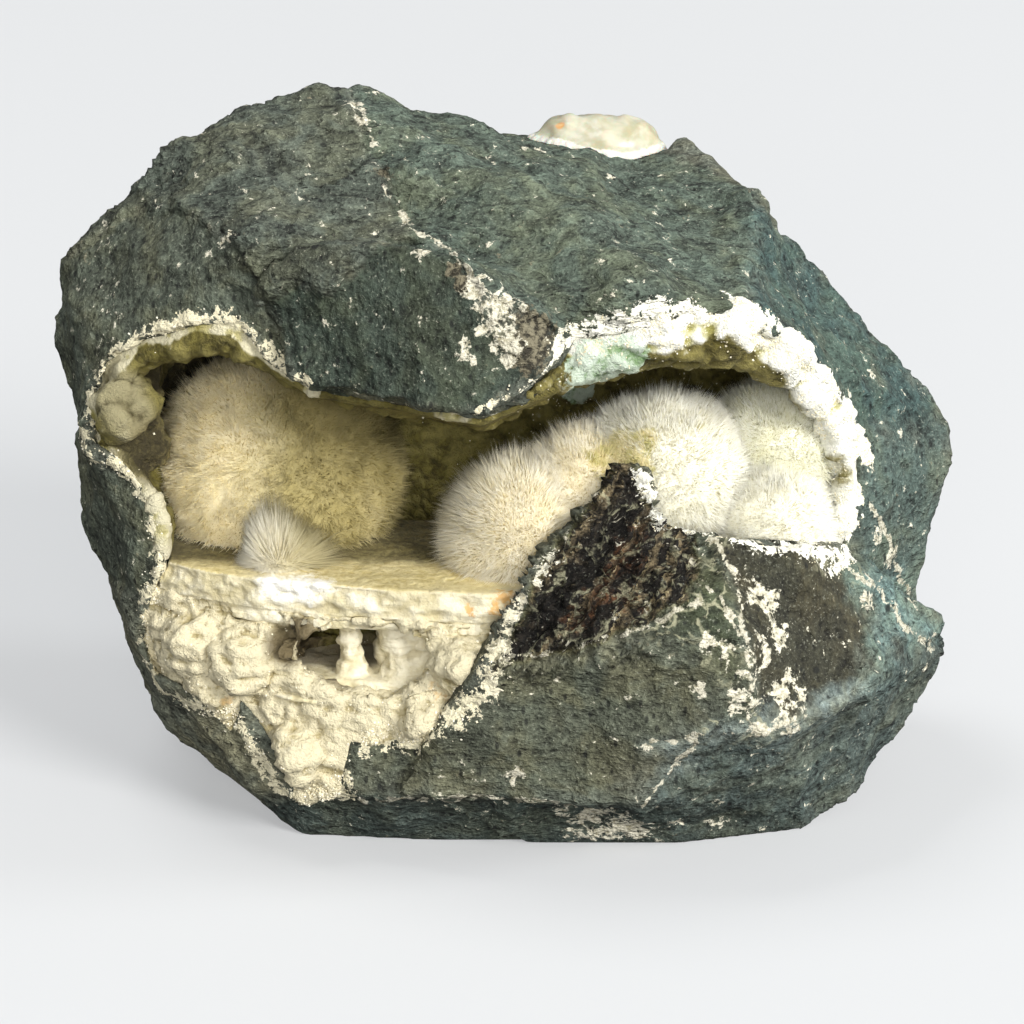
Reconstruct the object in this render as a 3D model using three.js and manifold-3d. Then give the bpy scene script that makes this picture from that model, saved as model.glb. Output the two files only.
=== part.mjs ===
// Okenite puffballs in their host rock: a hand-sized block of basalt, broken open across a vug.
// The vug is lined with a pale druse, floored by a layered shelf, and holds balls of fine needles.
// Millimetres, +Z up. The rock stands on its flat broken base at Z = 0, and the vug opens towards -Y.
import * as THREE from "three";
import { ConvexGeometry } from "three/addons/geometries/ConvexGeometry.js";
import { TessellateModifier } from "three/addons/modifiers/TessellateModifier.js";
import { ImprovedNoise } from "three/addons/math/ImprovedNoise.js";
import { mergeVertices } from "three/addons/utils/BufferGeometryUtils.js";
import Module from "manifold-3d";

const wasm = await Module();
wasm.setup();

// Driving dimensions
const seatGap = 0.3; // clearance between pieces that touch
const rockEdge = 15.5; // longest edge of the broken rock's facets
const rockRoughness = 1.1; // how far its corners wander
const druseThickness = 2.7; // the druse on the vug's wall
const druseRecess = 0.975; // the druse's broken face lies a little inside the rock's
const mouthBack = -10; // the mouth's own outline reaches back to this upright plane
const mouthFoot = 4; // and no lower than this, so that the rock's base stays whole
const mouthTilt = THREE.MathUtils.degToRad(20); // the mouth looks this far above the horizon
const shelfTop = 39.5; // the floor that the puffballs stand on
const slabThickness = 4.4;
const spineShare = 0.12; // spine length as a share of a ball's radius
const seatFaceting = 1.07; // a faceted seat is this much larger, so that its flats clear the ball

// Corners of the rock, [x, y, z], as they would be touched on the real block.
const blockCorners = [
  // ridge along the top
  [-45, 0, 92], [-35.5, 5, 96.5], [-30.5, 7, 98], [-26, 8, 99], [-18, 11, 97], [24, 11, 84], [36, -2, 84],
  // back of the top
  [-36, 26, 87], [-6, 30, 83], [22, 31, 78], [38, 20, 73],
  // left side
  [-52, -3, 83.5], [-57, -2, 80], [-63.5, -4, 77], [-62.5, -5, 70], [-62, -6, 58], [-60, -6, 39],
  [-58, -8, 33.5], [-51, -12, 22], [-48, -15, 10], [-43, -19, 7],
  [-56, 16, 72], [-58, 20, 44], [-48, 22, 12],
  // front of the top, down to the mouth
  [-42.5, -17, 86], [-34.5, -26, 86.5], [-55, -21, 68], [-42, -26.5, 76], [-57, -20, 55], [13, -35, 81],
  [21.5, -34.5, 81], [32.5, -30, 78], [35, -27, 78],
  // right side
  [43, -23, 70], [48.5, -20, 61], [50.5, -20, 52], [54, 4, 58], [54, 12, 22], [46, -14, 8],
  // lower front
  [-49, -21, 49], [-49.5, -22, 27], [-47, -24, 20], [-41, -28, 14], [-36.5, -30, 7.5], [-21, -38, 10.5],
  [-3, -40, 11],
  // back
  [-20, 44, 58], [18, 45, 46], [40, 34, 34], [-30, 41, 26], [12, 42, 14],
  // base
  [-28, -29, 0], [-9, -31, 0], [25, -31, 0], [42, -26, 0], [44, 10, 0], [26, 29, 0], [-12, 33, 0],
  [-36, 18, 0], [-40, -8, 0],
];
const crownCorners = [
  [-8, 12, 87], [4, 13, 88.5], [27, 15, 89.5], [33, 8, 87], [37, -2, 85], [-2, 27, 82], [21, 31, 79],
  [37, 20, 74], [10, -16, 80], [34, -14, 80], [14, 10, 66],
];
const browCorners = [
  [-31, -30, 81], [-27, -31, 86.5], [-20.5, -33, 88.5], [-13.5, -35, 89], [-4.5, -38, 86.5],
  [3, -40, 82], [8.5, -38, 77], [8, -38, 72.5], [4, -42, 71.5], [-2.5, -43.5, 67.5], [-9.5, -42, 68.5],
  [-20, -38, 68], [-27.5, -34, 69], [-30, -20, 84], [10, -20, 82], [10, -26, 71], [-4, -28, 66],
  [-28, -24, 70], [-7.5, -41.5, 78], [-19, -37.5, 77],
];
const shoulderCorners = [
  [38, 0, 80], [46, 0, 72.5], [52.5, 0, 68], [57, 0, 63], [62, 1, 56], [64.5, 0, 51], [64.5, -3, 45],
  [62, -5, 40], [61.5, -7, 32], [57, -10, 28], [44, -20, 66], [49.5, -19, 52], [50, -20, 40],
  [44, 26, 66], [56, 22, 46], [52, 20, 20], [58, 0, 16], [40, 10, 20],
];
const boulderCorners = [
  [0, -42, 33], [5, -38, 43], [12, -34, 51], [21, -34, 49], [28, -34, 48], [41, -31, 44],
  [48, -23, 41.5], [56.5, -18, 31], [63, -14, 26.5], [64, -14, 22], [58, -16, 11], [51, -20, 3],
  [27, -46, 22.5], [39.5, -43, 22.5], [50.5, -34, 25], [26, -46, 36], [8, -44, 36], [-14, -40, 11.5],
  [19, -44, 12], [43, -27, 0], [25, -32, 0], [4, -32, 0], [12, -27, 42], [42, -22, 38], [56, -4, 26],
  [10, -8, 6], [50, -2, 6],
];
const hornCorners = [
  [11, -35, 49], [22, -34.5, 48], [21, -28, 47], [12, -28, 47], [16, -32, 56.5], [20.5, -31.5, 56],
  [19, -29, 55], [15.5, -29.5, 54],
];

// The mouth as the eye sees it along its own axis: x, and height above the axis through the origin.
// The druse fills the rock's own edge and leaves the inner one open.
const druseEdge = [
  [-57.5, 46], [-56.5, 51], [-54.5, 56.5], [-49, 59.5], [-40.5, 61.5], [-35.5, 61.5], [-31, 56.5],
  [-25.5, 52.5], [-13, 50.5], [-2.5, 48.5], [3, 51], [8, 55.5], [10, 59], [20, 60.5], [27, 62.5],
  [33.5, 62.5], [41, 57.5], [46.5, 51.5], [50, 44], [50, 38], [48, 33], [48.5, 28.5], [27.5, 26],
  [12, 22], [2.5, 17], [-1.5, 10.5], [-8, 6], [-16.5, 3.5], [-20.5, 4], [-22.5, -3.5], [-28, -4],
  [-31, 3], [-36, 9.5], [-37.5, 4.5], [-41, 9.5], [-49, 13], [-51, 19], [-47, 29], [-48.5, 37.5],
  [-52, 42],
];
const mouthEdge = [
  [-54.5, 47], [-53.5, 53], [-49.5, 56.5], [-38, 58.5], [-33, 56], [-25.5, 51.5], [-13, 49.5],
  [-2.5, 47.5], [3, 50], [9.5, 53.5], [21.5, 56.5], [32.5, 56.5], [40.5, 53.5], [46, 47.5],
  [48, 41], [46.5, 29], [27.5, 27.5], [13.5, 25], [-27.5, 27], [-46, 29], [-46.5, 35], [-50, 42],
];

// Chambers behind the mouth: centre and half-axes.
const chambers = [
  { centre: [-29, -6, 54], halves: [26, 25, 24] },
  { centre: [21, -7, 56], halves: [29, 25, 22] },
  { centre: [-4, -2, 52], halves: [24, 22, 19] },
];
const undershelf = { centre: [-18, -28, 28.5], halves: [12, 14, 6.5] };

// Botryoidal lumps of the druse: centre and radius.
const druseLumps = [
  // left wall
  [-52, -19, 60, 4.6], [-50.5, -17.5, 54.2, 4],
  // below the shelf, left of the recess
  [-42, -25, 28, 5], [-35.5, -29, 27, 4.8], [-40, -26, 20.5, 4.8], [-28.5, -32.5, 14, 4.8],
  // and right of it
  [-4, -37, 28.5, 4.8], [-9, -37, 20, 4.8],
  // roof of the right chamber
  [21, -27, 75, 4.4], [30, -27, 74.5, 4.8], [38, -23, 70, 4.2],
];

// Layered shelf: the plan of its front edge, from the left wall to the right lip.
const shelfFront = [[-49, -23], [-43, -27], [-35, -31], [-25, -33.5], [-14, -35.5], [-4, -37], [9, -36.5]];
const shelfBack = -7;
const shelfPlates = [
  { top: shelfTop, thickness: slabThickness, setBack: 0, from: -49, to: 9 },
  { top: shelfTop - slabThickness - 0.8, thickness: 1.3, setBack: 0.8, from: -40, to: 3 },
  { top: 24.5, thickness: 2.4, setBack: 2.6, from: -31, to: -11 },
];
// Drip pillars that join the plates: the line they stand on, from foot to head, and their radius.
const shelfPillars = [
  { foot: [-20.5, -28, 23.5], head: [-21.5, -28.5, 36], radius: 1.6 },
  { foot: [-13, -29, 23.5], head: [-15.5, -30, 36], radius: 2.3 },
];

// Puffballs: centre and outer radius of the needles, and how finely they are faceted.
const largeBall = { centre: [-30.5, -4, 46.5], radius: 18.2, detail: 2 };
const smallBall = { centre: [-29, -25, 41.5], radius: 7.4, detail: 1 };
const rearBall = { centre: [41, -6.5, 51], radius: 11, detail: 1 };
const clusterBalls = [
  { centre: [4.2, -22, 43.5], radius: 12.6, detail: 1 },
  { centre: [22.5, -17, 49.5], radius: 13.4, detail: 2 },
  { centre: [36, -20, 43.5], radius: 10.2, detail: 1 },
];

// Pale dome on the back of the top, in a pocket of its own.
const topPocket = { centre: [15.5, 18.5, 90.5], halves: [11.5, 9.5, 7] };
const topDomes = [
  { centre: [10, 17.5, 87.5], radius: 5.4 }, { centre: [18, 17.5, 87], radius: 5.6 },
  { centre: [14, 22, 86], radius: 4.6 },
];

const perlin = new ImprovedNoise();

// Smooth noise from about -1 to 1 at a point, summed over octaves that halve in size.
function fractal(point, wavelength, octaves, shift = 0) {
  let sum = 0;
  let weight = 1;
  let scale = 1 / wavelength;
  for (let i = 0; i < octaves; i++) {
    sum += weight * perlin.noise(point.x * scale + shift, point.y * scale + 7.3, point.z * scale - 3.1);
    weight *= 0.5;
    scale *= 2;
  }
  return sum;
}

function unshared(geometry) {
  return geometry.index ? geometry.toNonIndexed() : geometry;
}

function toSolid(geometry) {
  const bare = new THREE.BufferGeometry();
  bare.setAttribute("position", unshared(geometry).getAttribute("position"));
  const merged = mergeVertices(bare, 1e-4);
  return new wasm.Manifold(new wasm.Mesh({
    numProp: 3,
    vertProperties: new Float32Array(merged.attributes.position.array),
    triVerts: new Uint32Array(merged.index.array),
  }));
}

function toGeometry(made) {
  const mesh = made.getMesh();
  const geometry = new THREE.BufferGeometry();
  const corners = new Float32Array(mesh.numVert * 3);
  for (let i = 0; i < mesh.numVert; i++) {
    corners.set(mesh.vertProperties.subarray(i * mesh.numProp, i * mesh.numProp + 3), i * 3);
  }
  geometry.setAttribute("position", new THREE.BufferAttribute(corners, 3));
  geometry.setIndex(new THREE.BufferAttribute(new Uint32Array(mesh.triVerts), 1));
  return geometry;
}

function joined(solids) {
  return solids.reduce((sum, next) => sum.add(next));
}

function largestPiece(made) {
  return made.decompose().sort((one, two) => two.volume() - one.volume())[0];
}

// Moves every vertex of a geometry by a function of its place.
function moveVertices(geometry, move) {
  const place = geometry.getAttribute("position");
  const point = new THREE.Vector3();
  for (let i = 0; i < place.count; i++) {
    point.fromBufferAttribute(place, i);
    move(point);
    place.setXYZ(i, point.x, point.y, point.z);
  }
  return geometry;
}

function hull(corners) {
  return toSolid(new ConvexGeometry(corners.map((corner) => new THREE.Vector3(...corner))));
}

// Breaks a faceted solid's faces into smaller ones whose corners wander, and keeps its base flat.
function fracture(made, roughness) {
  const fine = new TessellateModifier(rockEdge, 12).modify(unshared(toGeometry(made)));
  moveVertices(fine, (point) => {
    const lift = roughness * THREE.MathUtils.smoothstep(point.z, 0, 5);
    const wander = new THREE.Vector3(
      fractal(point, 19, 3, 11),
      fractal(point, 19, 3, 29),
      fractal(point, 19, 3, 47),
    );
    point.addScaledVector(wander, 1.6 * lift);
  });
  return toSolid(fine);
}

// A rounded hollow: a sphere drawn out to its half-axes, with an uneven wall.
function hollow({ centre, halves }, inset, segments = 10) {
  const middle = new THREE.Vector3(...centre);
  const sphere = new THREE.SphereGeometry(1, segments, Math.round(segments * 0.6));
  moveVertices(sphere, (point) => {
    const reach = new THREE.Vector3(...halves);
    const wall = point.clone().multiply(reach).add(middle);
    reach.multiplyScalar(1 + 0.07 * fractal(wall, 13, 2, 5)).subScalar(inset);
    point.multiply(reach).add(middle);
  });
  return toSolid(sphere);
}

// The mouth's outline carried back into the rock along the mouth's own axis, as far as an upright plane.
function mouth(outline, inset, upright) {
  const points = outline.map(([x, height]) => new THREE.Vector2(x, height));
  const drawn = new THREE.Shape(points.map((point, i) => {
    const before = points[(i + points.length - 1) % points.length];
    const after = points[(i + 1) % points.length];
    const along = after.clone().sub(before).normalize();
    return point.clone().add(new THREE.Vector2(along.y, -along.x).multiplyScalar(inset));
  }));
  const front = 80;
  const bar = new THREE.ExtrudeGeometry(drawn, { depth: front, bevelEnabled: false });
  moveVertices(bar, (point) => {
    const back = (point.y * Math.sin(mouthTilt) - upright) / Math.cos(mouthTilt);
    point.z = THREE.MathUtils.lerp(back, front, point.z / front);
  });
  return toSolid(bar.rotateX(Math.PI / 2 - mouthTilt));
}

function vug(edge, edgeInset, wallInset) {
  const opening = mouth(edge, edgeInset, mouthBack - wallInset).subtract(below(mouthFoot + edgeInset));
  return joined([opening, ...chambers.map((room) => hollow(room, wallInset))]);
}

function ball([x, y, z], radius, detail = 1) {
  return toSolid(new THREE.IcosahedronGeometry(radius, detail).translate(x, y, z));
}

// A ball of needles: each face of a small ball is drawn out to a spine.
function spinyBall({ centre, radius, detail }) {
  const core = unshared(new THREE.IcosahedronGeometry(1, detail));
  const place = core.getAttribute("position");
  const corners = [];
  const [a, b, c, tip] = [0, 1, 2, 3].map(() => new THREE.Vector3());
  for (let i = 0; i < place.count; i += 3) {
    [a, b, c].forEach((corner, k) => corner.fromBufferAttribute(place, i + k));
    tip.copy(a).add(b).add(c).normalize();
    const reach = 1 - spineShare * 0.35 * (0.5 + 0.5 * fractal(tip, 0.31, 1, radius));
    tip.multiplyScalar(radius * reach);
    [a, b, c].forEach((corner) => corner.multiplyScalar(radius * (1 - spineShare)));
    for (const [one, two] of [[a, b], [b, c], [c, a]]) {
      corners.push(...one.toArray(), ...two.toArray(), ...tip.toArray());
    }
  }
  const spiny = new THREE.BufferGeometry();
  spiny.setAttribute("position", new THREE.Float32BufferAttribute(corners, 3));
  return toSolid(spiny.translate(...centre));
}

// The room that a ball needs in what carries it.
function seatOf({ centre, radius }) {
  return ball(centre, (radius + seatGap) * seatFaceting);
}

function below(height) {
  const side = 300;
  return toSolid(new THREE.BoxGeometry(side, side, side).translate(0, 0, height - side / 2));
}

// Grows a compact solid from its middle, so that its faces move out by about one gap.
function grown(made) {
  const { min, max } = made.boundingBox();
  const middle = min.map((low, i) => (low + max[i]) / 2);
  return made.translate(middle.map((part) => -part)).scale(1.025).translate(middle);
}

// One plate of the shelf: its plan runs along the ragged front edge and back to a straight line.
function plate({ top, thickness, setBack, from, to }, grow = 0) {
  const curve = new THREE.SplineCurve(shelfFront.map(([x, y]) => new THREE.Vector2(x, y)));
  const front = curve.getPoints(14).filter((point) => point.x >= from && point.x <= to);
  const plan = new THREE.Shape();
  plan.moveTo(front[0].x - grow, shelfBack + grow);
  front.forEach((point) => {
    const ragged = 0.9 * fractal(new THREE.Vector3(point.x, top, 0), 6, 2, 3);
    plan.lineTo(point.x, point.y + setBack + ragged - grow);
  });
  plan.lineTo(front.at(-1).x + grow, shelfBack + grow);
  const slab = new THREE.ExtrudeGeometry(plan, { depth: thickness + 2 * grow, bevelEnabled: false });
  return toSolid(slab.translate(0, 0, top - thickness - grow));
}

// A drip pillar, wider at both ends than at its waist.
function pillar({ foot, head, radius }, grow = 0) {
  const rings = 5;
  const profile = Array.from({ length: rings + 1 }, (_, i) => {
    const share = i / rings;
    const waist = 1 + 3 * (share - 0.5) ** 2;
    return new THREE.Vector2(radius * waist + grow, share);
  });
  profile.unshift(new THREE.Vector2(0, 0));
  profile.push(new THREE.Vector2(0, 1));
  const shaft = new THREE.LatheGeometry(profile, 8).rotateX(Math.PI / 2);
  const stand = new THREE.Vector3(...foot);
  const top = new THREE.Vector3(...head);
  moveVertices(shaft, (point) => {
    const axis = stand.clone().lerp(top, point.z);
    point.set(point.x + axis.x, point.y + axis.y, axis.z);
  });
  return toSolid(shaft);
}

function shelf(grow = 0) {
  return joined([
    ...shelfPlates.map((one) => plate(one, grow)),
    ...shelfPillars.map((one) => pillar(one, grow)),
  ]);
}

// The druse: the vug's lining between its two walls, with its lumps.
function lining(outcrop) {
  const outside = vug(druseEdge, seatGap, seatGap);
  const inside = vug(mouthEdge, 0, druseThickness).add(hollow(undershelf, 0));
  const skin = outside.subtract(inside).intersect(outcrop.scale(druseRecess));
  const lumps = joined(druseLumps.map(([x, y, z, radius]) => ball([x, y, z], radius)));
  return skin.add(lumps.intersect(outside));
}

function makePieces() {
  const unbroken = joined([blockCorners, crownCorners, shoulderCorners, browCorners].map(hull));
  const block = fracture(unbroken, rockRoughness);
  const lip = fracture(joined([boulderCorners, hornCorners].map(hull)), rockRoughness * 0.7);
  const seats = joined([largeBall, rearBall, ...clusterBalls].map(seatOf)).subtract(below(shelfTop));
  const floor = below(shelfTop + seatGap);
  const rock = block.subtract(vug(druseEdge, 0, 0)).subtract(hollow(topPocket, 0)).add(lip).subtract(seats);
  const druse = lining(unbroken).subtract(seats).subtract(shelf(seatGap));
  const cleft = vug(druseEdge, 2 * seatGap, 2 * seatGap);
  const domes = joined(topDomes.map(({ centre, radius }) => ball(centre, radius)));
  return {
    basalt_matrix: rock,
    vug_druse: druse.subtract(grown(lip)),
    layered_shelf: shelf().intersect(cleft).subtract(grown(lip)),
    puffball_large: spinyBall(largeBall).subtract(floor),
    puffball_small: spinyBall(smallBall).subtract(floor).subtract(seatOf(largeBall)),
    puffball_rear: spinyBall(rearBall).subtract(joined(clusterBalls.map(seatOf))).subtract(floor),
    puffball_cluster: joined(clusterBalls.map(spinyBall)).subtract(floor),
    top_dome: domes.intersect(hollow(topPocket, seatGap)),
  };
}

const stone = new THREE.MeshStandardMaterial({ color: 0x4a4f4a, roughness: 0.85, metalness: 0 });
const crystal = new THREE.MeshStandardMaterial({ color: 0xe6e0c4, roughness: 0.7, metalness: 0 });
const needles = new THREE.MeshStandardMaterial({ color: 0xe9dfb8, roughness: 0.9, metalness: 0 });

function finishOf(name) {
  if (name === "basalt_matrix") return stone;
  return name.startsWith("puffball") ? needles : crystal;
}

const pieces = new THREE.Group();
for (const [name, made] of Object.entries(makePieces())) {
  const mesh = new THREE.Mesh(toGeometry(largestPiece(made)), finishOf(name));
  mesh.name = name;
  pieces.add(mesh);
}

// The origin lies under the middle of the whole specimen.
const middle = new THREE.Box3().setFromObject(pieces).getCenter(new THREE.Vector3());
pieces.position.set(-middle.x, -middle.y, 0);

const specimen = new THREE.Group();
specimen.add(pieces);

export default specimen;
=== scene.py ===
# Okenite puffballs in a vug in basalt. Works in metres; sizes in the dictionaries are in millimetres.
import bpy, bmesh, math
import numpy as np
from itertools import product
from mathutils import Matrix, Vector
from mathutils.bvhtree import BVHTree


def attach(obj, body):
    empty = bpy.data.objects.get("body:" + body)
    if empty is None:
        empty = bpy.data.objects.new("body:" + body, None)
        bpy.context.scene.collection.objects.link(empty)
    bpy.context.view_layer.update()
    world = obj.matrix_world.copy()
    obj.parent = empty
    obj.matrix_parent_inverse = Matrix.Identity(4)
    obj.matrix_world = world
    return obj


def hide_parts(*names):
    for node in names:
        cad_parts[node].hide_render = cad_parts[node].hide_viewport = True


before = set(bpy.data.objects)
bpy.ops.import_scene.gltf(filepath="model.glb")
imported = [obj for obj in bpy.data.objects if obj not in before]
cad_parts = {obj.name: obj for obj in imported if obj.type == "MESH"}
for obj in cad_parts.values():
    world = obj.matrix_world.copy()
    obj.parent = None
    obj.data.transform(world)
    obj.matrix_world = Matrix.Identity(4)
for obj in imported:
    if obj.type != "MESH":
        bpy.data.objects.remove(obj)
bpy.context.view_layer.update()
mm = 0.001
print("frame loaded")

# camera
shot = {"target": (1.08, 0.59, 38.0), "elevation": 20.0, "distance": 620.0, "pixel": 0.1448, "side": 1024}
tilt = math.radians(shot["elevation"])
ahead = Vector((0, math.cos(tilt), -math.sin(tilt)))
upward = Vector((0, math.sin(tilt), math.cos(tilt)))
cameraPlace = (Vector(shot["target"]) - ahead * shot["distance"]) * mm
cameraData = bpy.data.cameras.new("camera")
cameraData.sensor_width = 36
cameraData.lens = 36 * shot["distance"] / (shot["side"] * shot["pixel"])
cameraData.clip_start, cameraData.clip_end = 0.05, 20
camera = bpy.data.objects.new("camera", cameraData)
camera.location = cameraPlace
camera.rotation_euler = ahead.to_track_quat("-Z", "Y").to_euler()
bpy.context.collection.objects.link(camera)
bpy.context.scene.camera = camera

# studio
studio = {
    "floorSide": 9.0, "floorTone": (0.34, 0.347, 0.354), "floorGlow": 0.345,
    "sky": (0.95, 0.98, 1.0), "skyStrength": 0.38, "groundStrength": 0.09,
    "lamps": [  # name, place in metres, side, watts, tone
        ("rightKey", (1.9, -2.4, 1.7), 1.3, 132.0, (1.0, 0.985, 0.96)),
        ("flankLight", (2.9, 0.0, 0.9), 0.8, 55.0, (0.97, 0.99, 1.0)),
        ("frontFill", (0.0, -3.3, 1.0), 1.6, 72.0, (1.0, 0.99, 0.97)),
        ("topSoft", (-0.9, 0.6, 3.0), 1.2, 34.0, (1.0, 1.0, 1.0)),
    ],
}
bpy.context.scene.view_settings.view_transform = "Standard"
world = bpy.data.worlds.new("studio")
world.use_nodes = True
backdrop = world.node_tree.nodes["Background"]  # lighter above the horizon than below it
backdrop.inputs["Color"].default_value = (*studio["sky"], 1)
way = world.node_tree.nodes.new("ShaderNodeTexCoord")
parts = world.node_tree.nodes.new("ShaderNodeSeparateXYZ")
fade = world.node_tree.nodes.new("ShaderNodeMapRange")
for slot, value in enumerate((-0.25, 0.35, studio["groundStrength"], studio["skyStrength"]), 1):
    fade.inputs[slot].default_value = value
world.node_tree.links.new(way.outputs["Generated"], parts.inputs[0])
world.node_tree.links.new(parts.outputs["Z"], fade.inputs[0])
world.node_tree.links.new(fade.outputs[0], backdrop.inputs["Strength"])
bpy.context.scene.world = world
for name, spot, side, watts, color in studio["lamps"]:
    lampData = bpy.data.lights.new(name, "AREA")
    lampData.shape, lampData.size, lampData.energy, lampData.color = "DISK", side, watts, color
    lamp = bpy.data.objects.new(name, lampData)
    lamp.location = spot
    lamp.rotation_euler = (Vector((0, 0, 0.05)) - Vector(spot)).to_track_quat("-Z", "Y").to_euler()
    bpy.context.collection.objects.link(lamp)
print("camera and lamps")


def tone(code):  # linear colour from a web colour
    parts = [int(code[i:i + 2], 16) / 255 for i in (1, 3, 5)]
    return tuple(p / 12.92 if p < 0.04045 else ((p + 0.055) / 1.055) ** 2.4 for p in parts) + (1.0,)


class Wire:  # one value on a material's sheet
    def __init__(self, look, socket):
        self.look, self.socket = look, socket

    def sum(self, operation, *rest):
        return self.look.node("ShaderNodeMath", {"operation": operation}, dict(enumerate(rest)))

    def __add__(self, other):
        return self.sum("ADD", self, other)

    def __sub__(self, other):
        return self.sum("SUBTRACT", self, other)

    def __rsub__(self, other):
        return self.sum("SUBTRACT", other, self)

    def __mul__(self, other):
        return self.sum("MULTIPLY", self, other)

    __radd__, __rmul__ = __add__, __mul__

    def most(self, other):
        return self.sum("MAXIMUM", self, other)

    def step(self, low, high):  # eases from 0 at low to 1 at high
        settings = {"interpolation_type": "SMOOTHSTEP"}
        return self.look.node("ShaderNodeMapRange", settings, {0: self, 1: low, 2: high})


class Look:  # a material and its sheet of nodes
    def __init__(self, name):
        self.material = bpy.data.materials.new(name)
        self.material.use_nodes = True
        self.tree = self.material.node_tree
        self.tree.nodes.clear()
        self.place = self.node("ShaderNodeTexCoord", out="Object")

    def node(self, kind, settings={}, links={}, out=0):
        made = self.tree.nodes.new(kind)
        for key, value in settings.items():
            setattr(made, key, value)
        for key, value in links.items():
            if isinstance(value, Wire):
                self.tree.links.new(value.socket, made.inputs[key])
            else:
                made.inputs[key].default_value = tone(value) if isinstance(value, str) else value
        return Wire(self, made.outputs[out]) if made.outputs else None

    def __getitem__(self, name):  # a number noted on the mesh
        return self.node("ShaderNodeAttribute", {"attribute_name": name}, out="Fac")

    def noise(self, size, detail=3.0, rough=0.55, twist=0.0, place=None):
        links = {"Vector": place or self.place, "Scale": 1 / (size * mm), "Detail": detail}
        return self.node("ShaderNodeTexNoise", {}, {**links, "Roughness": rough, "Distortion": twist})

    def cells(self, size, feature="F1", out="Distance", place=None):
        links = {"Vector": place or self.place, "Scale": 1 / (size * mm)}
        return self.node("ShaderNodeTexVoronoi", {"feature": feature}, links, out)

    def mix(self, share, one, two, blend="MIX"):
        settings = {"data_type": "RGBA", "blend_type": blend}
        return self.node("ShaderNodeMix", settings, {0: share, 6: one, 7: two}, 2)

    def tinted(self, base, tint):
        return self.mix(1.0, base, tint, "MULTIPLY")

    def choice(self, size, place=None):  # one number for each cell
        colors = self.cells(size, out="Color", place=place)
        return self.node("ShaderNodeSeparateColor", {}, {"Color": colors})

    def fromLeft(self, low, high):
        return self.node("ShaderNodeSeparateXYZ", {}, {0: self.place}).step(low, high)

    def stretch(self, scale, turn=(0, 0, 0)):
        return self.node("ShaderNodeMapping", {}, {"Vector": self.place, "Scale": scale, "Rotation": turn})

    def bump(self, height, depth, **rest):
        return self.node("ShaderNodeBump", {}, {"Height": height, "Distance": depth * mm, **rest})

    def finish(self, **sockets):
        sockets = {key.replace("_", " "): value for key, value in sockets.items()}
        shader = self.node("ShaderNodeBsdfPrincipled", {}, sockets)
        self.node("ShaderNodeOutputMaterial", {}, {"Surface": shader})
        return self.material


# floor
floorLook = Look("paleFloor")
floorMade = bmesh.new()
bmesh.ops.create_grid(floorMade, x_segments=1, y_segments=1, size=studio["floorSide"] / 2)
floorMesh = bpy.data.meshes.new("floor")
floorMade.to_mesh(floorMesh)
floorMade.free()
floorMesh.materials.append(floorLook.finish(
    Base_Color=(*studio["floorTone"], 1), Roughness=0.95, Emission_Color=(0.985, 0.993, 1.0, 1),
    Emission_Strength=studio["floorGlow"]))
floor = bpy.data.objects.new("floor", floorMesh)
bpy.context.collection.objects.link(floor)
floor.visible_diffuse = floor.visible_glossy = False  # no light comes back from it to the stone's underside


# seeded noise on arrays of points
def hashed(cells, seed):  # three numbers from 0 to 1 for each whole-number cell
    mixed = (cells * np.array([73856093, 19349663, 83492791])).sum(axis=1) + seed * 2654435761
    out = []
    for turn in (0x9E3779B1, 0x85EBCA77, 0xC2B2AE3D):
        n = (mixed * turn) & 0xFFFFFFFF
        n = ((n ^ (n >> 15)) * 0x2C1B3C6D) & 0xFFFFFFFF
        out.append((n ^ (n >> 13)) & 0xFFFFF)
    return np.stack(out, axis=1) / 0xFFFFF


def softNoise(points, size, octaves=1, seed=0, rough=0.5):  # about -1 to 1, points in millimetres
    total, weight = np.zeros(len(points)), 1.0
    for octave in range(octaves):
        place = points / size + 17.3 * octave
        low = np.floor(place).astype(np.int64)
        part = place - low
        ease = part ** 3 * (part * (part * 6 - 15) + 10)
        for corner in product((0, 1), repeat=3):
            share = np.where(corner, ease, 1 - ease).prod(axis=1)
            slope = hashed(low + np.array(corner), seed + octave) * 2 - 1
            total += weight * 1.7 * share * ((part - np.array(corner)) * slope).sum(axis=1)
        weight *= rough
        size *= 0.5
    return total


def wave(points, size, seed, octaves=2):  # three noises at once
    return np.stack([softNoise(points, size, octaves, seed + i) for i in range(3)], axis=1)


def knobs(points, size, reach, seed):  # round knobs up to 1 high, one to a cell
    place = points / size
    low = np.floor(place).astype(np.int64)
    near = np.full(len(points), 9.0)
    for step in product((-1, 0, 1), repeat=3):
        cell = low + np.array(step)
        near = np.minimum(near, np.linalg.norm(place - (cell + hashed(cell, seed)), axis=1))
    return np.sqrt(np.maximum(0, 1 - (near * size / reach) ** 2))


def layerShare(layers):  # one number from 0 to 1 for all that lies in the same layer
    return hashed(np.stack([np.floor(layers)] * 3, axis=1).astype(np.int64), 5)[:, 0]


def scoops(points, size, depth, seed=0):  # hollows that meet in sharp ridges, as a blow leaves them
    place = points / size
    low = np.floor(place).astype(np.int64)
    least = np.full(len(points), 9.0)
    for step in product((-1, 0, 1), repeat=3):
        cell = low + np.array(step)
        offset = place - cell - hashed(cell, seed)
        tilt = (offset * (hashed(cell, seed + 9) - 0.5)).sum(axis=1)
        bowl = 1.9 * (offset ** 2).sum(axis=1) + 1.5 * tilt + 1.2 * hashed(cell, seed + 5)[:, 0]
        least = np.minimum(least, bowl)
    return depth * (least - 0.75)


def eased(values, low, high):
    t = np.clip((values - low) / (high - low), 0, 1)
    return t * t * (3 - 2 * t)


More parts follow.
